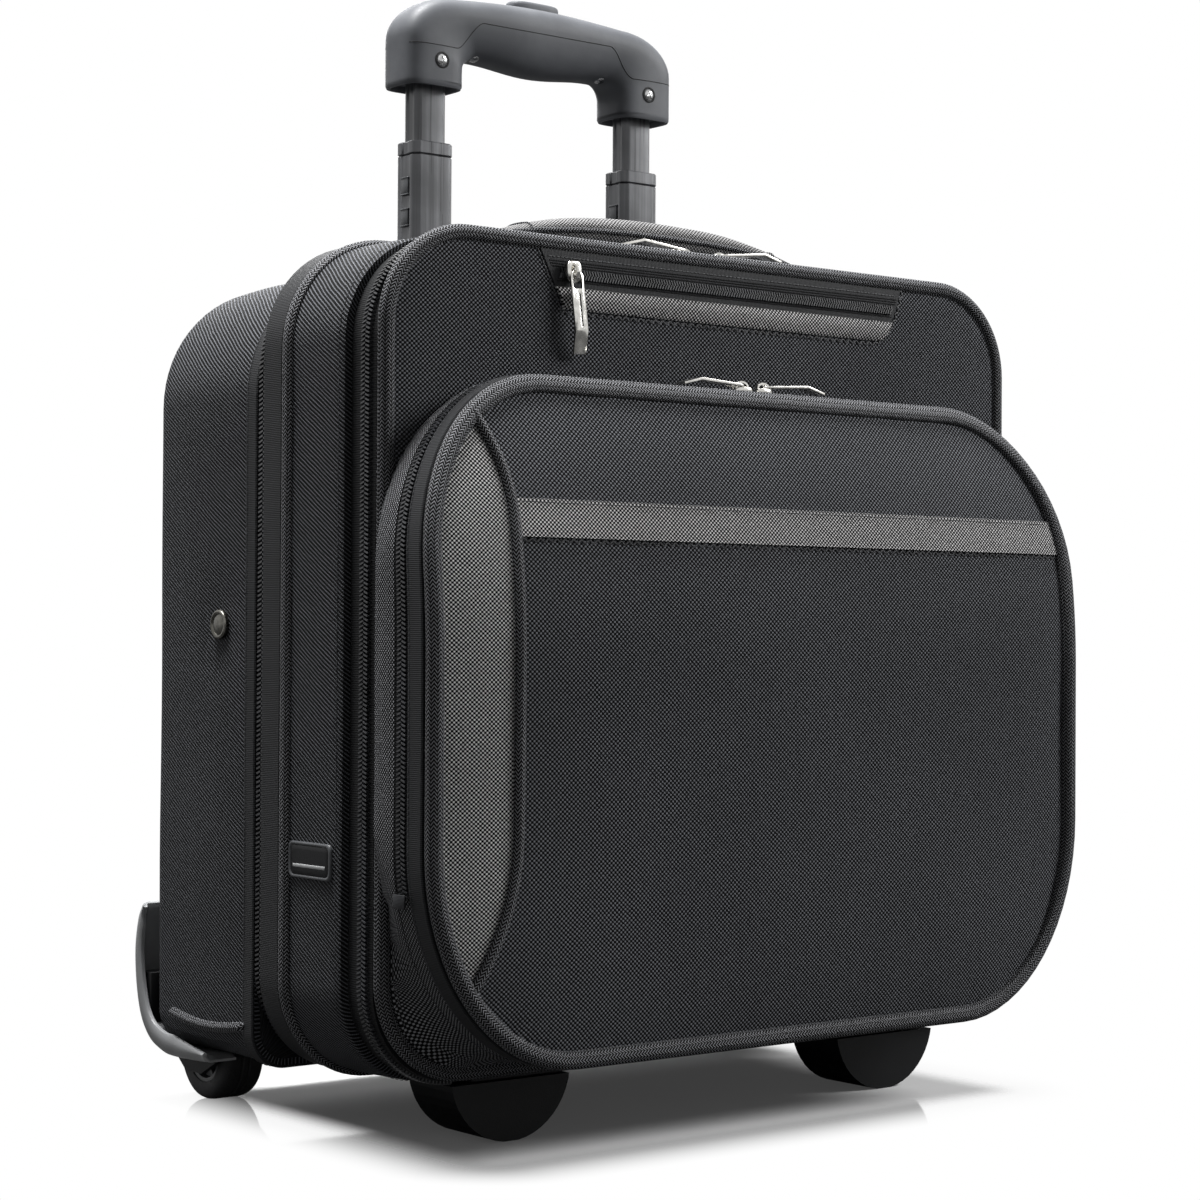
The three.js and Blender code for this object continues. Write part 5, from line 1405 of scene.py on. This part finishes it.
def pull(name, node, body, pivot, along_axis, out_axis, tilt=0.0, rise=1.4):
    """A slotted pull: a rounded eye, a flat bar and a bent end."""
    lo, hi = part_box(node)
    w = min(sorted((hi - lo))[1], 8 * MM) / 2 / MM - 0.05
    reach = 40.4
    head_part = arc_2d(w - 0.7, 0, w, 90, 270, 14) + [(KINK, -w), (KINK, w)]
    eye = (arc_2d(w - 0.7, 0, w - 1.15, 90, 270, 10) + arc_2d(7.6, -w + 1.95, 0.8, 270, 360, 3)
           + arc_2d(7.6, w - 1.95, 0.8, 0, 90, 3))
    slot_hole = rounded_box_2d(11.0, 27.0, 0.35, 1.25, 0.4)
    tip_part = [(KINK, -w), (reach, -w), (reach, w), (KINK, w)]
    build = Build()

    def lift(x):
        return rise * max(x, 0) / KINK if x <= KINK else rise - 0.26 * (x - KINK)

    lie = turned(frame_at(pivot, along_axis, out_axis), tilt)
    plate(build, [(head_part, [eye, slot_hole]), (tip_part, [])], lie, 1.25 * MM, lift)
    piece = build.done(name, NICKEL, None, "nickel", (node,))
    merge = bmesh.new()
    merge.from_mesh(piece.data)
    bmesh.ops.remove_doubles(merge, verts=merge.verts, dist=1e-6)
    bmesh.ops.recalc_face_normals(merge, faces=merge.faces)
    merge.to_mesh(piece.data)
    merge.free()
    bevelled(piece, 0.22 * MM, 50)
    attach(piece, body)


# how each kind of zip's pull rises above its slider
PULL_LIFTS = (("main", 3.0, 0.9 * MM), ("pocket", 1.8, 0.0))


def slider(name, node, body, centre, along_axis, out_axis, length, width, height):
    """A slider: a rounded body that the coil runs under, with side flanges and a bridge for the pull."""
    lie = frame_at(centre, along_axis, out_axis)
    build = Build()
    rows = []
    for z, share in ((0.0, 0.96), (0.5, 1.0), (height * 0.30, 1.0), (height * 0.40, 0.94), (height * 0.46, 0.8),
                     (height * 0.48, 0.5), (height * 0.48, 0.15)):
        rows.append([tuple(lie @ Vector((u * length / 2 * share * MM,
                                         v * width / 2 * share * (1.0 - 0.16 * c) * MM, z * MM)))
                     for c, _, u, v in superellipse(40, 0.75, 0.75)])
    build.solid(rows, [k * MM for k in range(len(rows))], [k * MM for k in range(41)])
    arch = []
    for k in range(17):
        a = math.pi * k / 16
        x, z = -math.cos(a) * length * 0.36, height * 0.36 + math.sin(a) ** 0.8 * (height * 0.64 - 0.6)
        nx, nz = -math.cos(a), math.sin(a)
        half = 1.35 - 0.25 * math.sin(a)
        arch.append([tuple(lie @ (Vector((x + nx * o, y, z + nz * o)) * MM))
                     for o, y in ((-0.6, -half), (-0.6, half), (0.4, half), (0.6, half * 0.6), (0.6, -half * 0.6),
                                  (0.4, -half))])
    build.solid(arch, [k * MM for k in range(17)], [k * MM for k in range(7)])
    build.done(name, NICKEL, body, "nickel", (node,), sharp=35)


for zip_name, rise, above in PULL_LIFTS:
    for side, s in SIDES:
        lo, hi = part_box(f"{zip_name}_slider_{side}")
        centre = Vector(((lo.x + hi.x) / 2, (lo.y + hi.y) / 2, lo.z))
        slider(f"{zip_name}_slider_body_{side}", f"{zip_name}_slider_{side}", f"b_{zip_name}_slider_{side}", centre,
               (s, 0, 0), (0, 0, 1), (hi.x - lo.x) / MM, (hi.y - lo.y) / MM, (hi.z - lo.z) / MM)
        middle = middle_of(f"{zip_name}_pull_{side}")
        pivot = Vector((centre.x, middle.y, middle.z + above))
        pull(f"{zip_name}_pull_plate_{side}", f"{zip_name}_pull_{side}", f"b_{zip_name}_pull_{side}", pivot,
             (s, 0, 0), (0, 0, 1), rise=rise)
lo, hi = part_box("organiser_slider")
centre = Vector(((lo.x + hi.x) / 2, hi.y, (lo.z + hi.z) / 2))
slider("organiser_slider_body", "organiser_slider", "b_organiser_slider", centre, (0, 0, -1), (0, -1, 0),
       (hi.z - lo.z) / MM, (hi.x - lo.x) / MM, (hi.y - lo.y) / MM)
pull("organiser_pull_plate", "organiser_pull", "b_organiser_pull",
     Vector((centre.x, middle_of("organiser_pull").y, centre.z)), (0, 0, -1), (0, -1, 0), tilt=5)


# ---------- rivets and side label ----------
def rivet(side, s):
    lo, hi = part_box(f"rivet_{side}")
    face = lo.x if s < 0 else hi.x
    centre = Vector((face - s * 1.2 * MM, RIVET_Y, RIVET_Z))
    build = Build()
    lathe(build, centre, (s, 0, 0), [(0.0, 1.25), (2.2, 1.2), (4.0, 0.95), (4.9, 0.45), (5.2, 0.3), (5.6, 0.9),
                                     (6.5, 1.2), (7.1, 0.95), (7.45, 0.3), (7.4, -0.6), (6.0, -5.3)], 48)
    build.done(f"rivet_cap_{side}", RIVET, "case", "nickel", (f"rivet_{side}",), sharp=50)


for side, s in SIDES:
    rivet(side, s)


def label():
    """A raised rim round a plain face with one raised bar."""
    lo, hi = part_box("side_label")
    cy, cz = (lo.y + hi.y) / 2, (lo.z + hi.z) / 2
    w, h = (hi.y - lo.y) / 2, (hi.z - lo.z) / 2

    def rings(levels, radius):
        """Rounded outlines, from (inset, height above the case) in millimetres."""
        rows = []
        for inset, out in levels:
            hw, hh = w - inset * MM, h - inset * MM
            outline = rounded([(hw, -hh), (hw, hh), (-hw, hh), (-hw, -hh)], radius, 5)
            rows.append([(hi.x - out * MM, cy + y, cz + z) for y, z in outline])
        return rows, [k * MM for k in range(len(rows))], [k * MM for k in range(len(rows[0]) + 1)]

    rim = Build()
    rows, us, vs = rings(((0.0, 0.0), (0.0, 1.1), (0.25, 1.5), (0.8, 1.65), (1.35, 1.5), (1.6, 1.15)), 3.4 * MM)
    rim.grid(rows, us, vs, wrap_j=True)
    rim.cap(range(len(rows[0])))
    rim.done("label_rim", HUB, "case", "guard_plastic", sharp=60)
    face = Build()
    face.solid(*rings(((1.7, 0.2), (1.7, 1.15), (1.95, 1.35), (4, 1.4)), 2.6 * MM))
    face.done("label_face", BLACK, "case", "black_plastic", ("side_label",), sharp=60)
    build = Build()
    build.shape(*block((hi.x - 1.75 * MM, cy - w + 4.4 * MM, cz - h + 5.2 * MM),
                       (hi.x - 1.2 * MM, cy + w - 4.4 * MM, cz - h + 6.8 * MM)))
    bar = build.done("label_bar", GUARD, None, "guard_plastic")
    bevelled(bar, 0.2 * MM)
    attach(bar, "case")


label()


# ---------- corner guards ----------
GUARD_LO, GUARD_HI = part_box("corner_guard_right")


def smooth_line(points, steps=6):
    """A curve through points, bent evenly between them."""
    pts = [Vector(p) for p in points]
    pts = [pts[0] * 2 - pts[1]] + pts + [pts[-1] * 2 - pts[-2]]
    out = []
    for a, b, c, d in zip(pts, pts[1:], pts[2:], pts[3:]):
        for k in range(steps):
            t = k / steps
            out.append(0.5 * (2 * b + (c - a) * t + (2 * a - 5 * b + 4 * c - d) * t * t
                              + (3 * b - a - 3 * c + d) * t ** 3))
    return out + [pts[-2]]


def guard_curve():
    """The guard's outer line in (y, z), from its upper lip round the corner to its front end."""
    back_y, top, low = GUARD_HI.y, GUARD_HI.z, GUARD_LO.z
    return smooth_line([(back_y - 8 * MM, top), (back_y - 3.2 * MM, top - 8 * MM), (back_y, top - 24 * MM),
                        (back_y - 1.5 * MM, low + 34 * MM), (back_y - 7 * MM, low + 17 * MM),
                        (back_y - 17 * MM, low + 6 * MM), (back_y - 30 * MM, low + 1 * MM),
                        (back_y - 42 * MM, low), (back_y - 58 * MM, low + 0.4 * MM), (GUARD_LO.y, low + 1.2 * MM)])


def corner_guard(side, s):
    """A bent strip with a rim down its outer side, and a black block behind it, open for the wheel."""
    line = guard_curve()
    x_in, x_out, last = GUARD_LO.x, GUARD_HI.x, len(line) - 1
    wall = x_out - 2.7 * MM
    strips, inner = [], []
    for i, p in enumerate(line):
        ahead = (line[min(i + 1, last)] - line[max(i - 1, 0)]).normalized()
        inward = Vector((ahead.y, -ahead.x))
        t = i / last
        rim = lerp(7 * MM, 11.5 * MM, min(1.0, t * 1.7)) if t < 0.78 else lerp(11.5 * MM, 5 * MM, (t - 0.78) / 0.22)
        rim = 4.2 * MM + (rim - 4.2 * MM) * min(1.0, i / 7)
        thick = 3.6 * MM * min(1.0, min(i, last - i) / 3 + 0.35)
        section = [(x_in, 0.6 * MM), (x_in + 0.8 * MM, 0.0), (x_out - 4.5 * MM, 0.0), (x_out - 2.4 * MM, 0.5 * MM),
                   (x_out - 0.8 * MM, 1.8 * MM), (x_out, 4.0 * MM), (x_out, rim - 0.9 * MM),
                   (x_out - 0.5 * MM, rim - 0.2 * MM), (x_out - 1.2 * MM, rim), (wall + 0.4 * MM, rim),
                   (wall, rim - 0.5 * MM), (wall - 0.2 * MM, thick + 1.2 * MM), (wall - 1.4 * MM, thick),
                   (x_in, thick)]
        strips.append([(s * x, p.x + inward.x * d, p.y + inward.y * d) for x, d in section])
        inner.append(p + inward * 3.0 * MM)
    build = Build()
    build.solid(strips, [k * 5 * MM for k in range(last + 1)], [k * 4 * MM for k in range(15)])
    piece = build.done(f"guard_{side}", GUARD, None, "guard_plastic", (f"corner_guard_{side}",))
    low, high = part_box(f"wheel_housing_{side}")
    opening = block((low.x - 0.3 * MM, low.y - 30 * MM, 0.0),
                    (high.x + 0.3 * MM, GUARD_HI.y + 5 * MM, high.z - 3 * MM))
    carve(piece, *opening)
    shade(piece, 38)
    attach(piece, "case")
    back = REAR_BACK + 0.3 * MM
    profile = [p for p in inner if p.y < GUARD_HI.z - 34 * MM and p.x > back + 0.1 * MM]
    profile = [Vector((back, profile[0].y))] + profile + [Vector((back, profile[-1].y))]
    build = Build()
    build.solid([[(s * x, p.x, p.y) for p in profile] for x in (x_in + 1 * MM, x_out - 3.4 * MM)],
                [0, 0.06], [k * 4 * MM for k in range(len(profile) + 1)])
    filler = build.done(f"guard_block_{side}", BLACK, None, "guard_plastic")
    carve(filler, *opening)
    bevelled(filler, 0.5 * MM)
    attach(filler, "case")


for side, s in SIDES:
    corner_guard(side, s)


# ---------- wheels ----------
def wheel(side):
    """A grooved tyre, and a hub with six spokes on each face."""
    lo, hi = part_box(f"wheel_{side}")
    centre = (lo + hi) / 2
    half, r = (hi.x - lo.x) / 2 / MM, (hi.z - lo.z) / 2 / MM
    spoke = (r - 17.4) / 2 * MM
    shoulder = [(r - 9, half - 0.6), (r - 6.5, half), (r - 3, half - 0.2), (r - 1.2, half - 1.4),
                (r - 0.3, half - 3.2), (r, half - 5.5)]
    grooves = [(r, -3), (r - 0.7, -2.4), (r - 0.7, -1.6), (r, -1), (r, 1), (r - 0.7, 1.6), (r - 0.7, 2.4), (r, 3)]
    tread = [(a, -h) for a, h in shoulder] + grooves + shoulder[::-1]
    build = Build()
    lathe(build, centre, (1, 0, 0), tread + [(r - 9.5, half - 2), (r - 9.5, -half + 2)], 72, closed=True)
    build.done(f"tyre_{side}", TYRE, f"{side}_wheel", "tyre", (f"wheel_{side}",), sharp=45)
    hub = Build()
    side_face = [(3.6, half - 1.2), (5.6, half - 1.2), (6.2, half - 2.2), (6.2, half - 4.2), (r - 11.8, half - 4.6),
                 (r - 11.2, half - 1.4), (r - 9.4, half - 1.2)]
    lathe(hub, centre, (1, 0, 0), [(a, -h) for a, h in side_face] + side_face[::-1], 60, closed=True)
    for end in (-1, 1):
        for k in range(6):
            a = TAU * k / 6
            out = Vector((0, math.cos(a), math.sin(a)))
            mid = centre + Vector((end * (half - 3.4) * MM, 0, 0)) + out * 0.5 * (r - 5.4) * MM
            hub.shape(*block((-spoke, -0.9 * MM, -1.4 * MM), (spoke, 0.9 * MM, 1.4 * MM)),
                      frame_at(mid, out, (1, 0, 0)))
    hub.done(f"hub_{side}", HUB, f"{side}_wheel", "black_plastic", sharp=40)


for side, _ in SIDES:
    wheel(side)


# ---------- CAD nodes that show as they are ----------
KEPT = {"base_board": BOARD, "tube_bracket": BLACK, "tube_bezel": BLACK}
for side, _ in SIDES:
    KEPT.update({f"front_foot_{side}": BLACK, f"outer_tube_{side}": TUBE,
                 f"wheel_housing_{side}": BLACK, f"axle_{side}": STEEL})
for node, mat in KEPT.items():
    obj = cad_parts[node]
    for slot_here in obj.material_slots:
        slot_here.material = mat
    bevel(obj, 0.6 * MM, 35)


# ---------- floor, light and camera ----------
FLOOR_HALF, FOOT_X, FOOT_Y = 40, 0.16, 0.11
FLOOR_RISE, FLOOR_POLISH, GLOW_FADE, GLOW_NEAR = 0.03, 0.9, 0.065, 0.04
AMBIENT = 0.09


def floor_material():
    """A white floor, polished and shaded round the case, that fades to plain white away from it."""
    net = Net("pale_floor", "424242", 0.5, Specular_IOR_Level=0.2)
    x, y, _ = net.split(net.space("Object"))
    across = net.math("MAXIMUM", net.math("SUBTRACT", net.math("ABSOLUTE", x), FOOT_X), 0.0)
    deep = net.math("MAXIMUM", net.math("SUBTRACT", net.math("ABSOLUTE", y), FOOT_Y), 0.0)
    away = net.math("SQRT", net.math("ADD", net.times(across, across), net.times(deep, deep)))
    gloss = net.node("ShaderNodeBsdfAnisotropic")
    gloss.inputs["Roughness"].default_value = 0.06
    gloss.inputs["Color"].default_value = (0.96, 0.96, 0.96, 1)
    white = net.node("ShaderNodeBsdfDiffuse")
    white.inputs["Color"].default_value = (0.9, 0.9, 0.9, 1)
    glow = net.node("ShaderNodeEmission")

    def blend(share, first, second):
        made = net.node("ShaderNodeMixShader")
        for socket, value in zip(made.inputs, (share, first.outputs[0], second.outputs[0])):
            net.feed(socket, value)
        return made

    polished = blend(net.remap(away, 0.0, FLOOR_RISE, 0.0, FLOOR_POLISH), white, gloss)
    glowing = blend(net.remap(away, 0.0, GLOW_FADE, GLOW_NEAR, 1.0), polished, glow)
    seen = blend(net.node("ShaderNodeLightPath").outputs["Is Camera Ray"], net.bsdf, glowing)
    net.feed(net.tree.nodes["Material Output"].inputs["Surface"], seen.outputs[0])
    return net.mat


floor_rows = [[(-FLOOR_HALF, y, 0), (FLOOR_HALF, y, 0)] for y in (-FLOOR_HALF, FLOOR_HALF)]
made(Build.sheet, floor_rows).done("floor", floor_material(), recalc=False)


def studio_world():
    """White to the camera, in reflections and through glass, and dim as a light."""
    world = bpy.data.worlds.new("studio")
    bpy.context.scene.world = world
    world.use_nodes = True
    tree = world.node_tree
    tree.nodes.clear()

    def add(kind, **inputs):
        node = tree.nodes.new(kind)
        for key, value in inputs.items():
            node.inputs[key].default_value = value
        return node

    def plus(first, second):
        node = add("ShaderNodeMath")
        node.operation, node.use_clamp = "ADD", True
        tree.links.new(first, node.inputs[0])
        tree.links.new(second, node.inputs[1])
        return node.outputs[0]

    seen = add("ShaderNodeBackground", Color=(1, 1, 1, 1))
    ambient = add("ShaderNodeBackground", Color=(1, 1, 1, 1), Strength=AMBIENT)
    rays = add("ShaderNodeLightPath").outputs
    bright = plus(rays["Is Camera Ray"], plus(rays["Is Glossy Ray"], rays["Is Transmission Ray"]))
    mixer = add("ShaderNodeMixShader")
    for socket, value in zip(mixer.inputs, (bright, ambient.outputs[0], seen.outputs[0])):
        tree.links.new(value, socket)
    tree.links.new(mixer.outputs[0], add("ShaderNodeOutputWorld").inputs[0])


studio_world()


def lamp(name, place, aim, size, power):
    data = bpy.data.lights.new(name, "AREA")
    data.shape, data.size, data.energy = "DISK", size, power
    obj = bpy.data.objects.new(name, data)
    obj.location = place
    obj.rotation_euler = (Vector(aim) - Vector(place)).to_track_quat("-Z", "Y").to_euler()
    bpy.context.scene.collection.objects.link(obj)


CENTRE = (0.0, 0.0, 0.3)
lamp("top", (-0.3, 0.3, 2.4), CENTRE, 1.0, 135)
lamp("front_right", (1.8, -1.2, 1.5), CENTRE, 1.1, 50)
lamp("left_rim", (-1.0, 1.1, 2.3), CENTRE, 0.7, 8)
lamp("rear", (0.8, 2.3, 1.3), CENTRE, 1.2, 14)

# the camera solved from the photograph
AZIMUTH, ELEVATION, ROLL = (math.radians(a) for a in (38.462, -0.77, 0.329))
CAMERA_PLACE, LENS, SENSOR = Vector((-0.8954, -1.11505, 0.2444)), 79.775, 36.0
back = Vector((-math.sin(AZIMUTH) * math.cos(ELEVATION), -math.cos(AZIMUTH) * math.cos(ELEVATION),
               math.sin(ELEVATION)))
right = (-back).cross(Vector((0, 0, 1))).normalized()
up = right.cross(-back)
right, up = (right * math.cos(ROLL) + up * math.sin(ROLL), up * math.cos(ROLL) - right * math.sin(ROLL))
camera_data = bpy.data.cameras.new("camera")
camera_data.lens, camera_data.sensor_width = LENS, SENSOR
camera_data.clip_start, camera_data.clip_end = 0.05, 50
camera = bpy.data.objects.new("camera", camera_data)
camera.matrix_world = Matrix([(*axis, at) for *axis, at in zip(right, up, back, CAMERA_PLACE)] + [(0, 0, 0, 1)])
bpy.context.scene.collection.objects.link(camera)
bpy.context.scene.camera = camera
bpy.context.scene.view_settings.view_transform = "Standard"
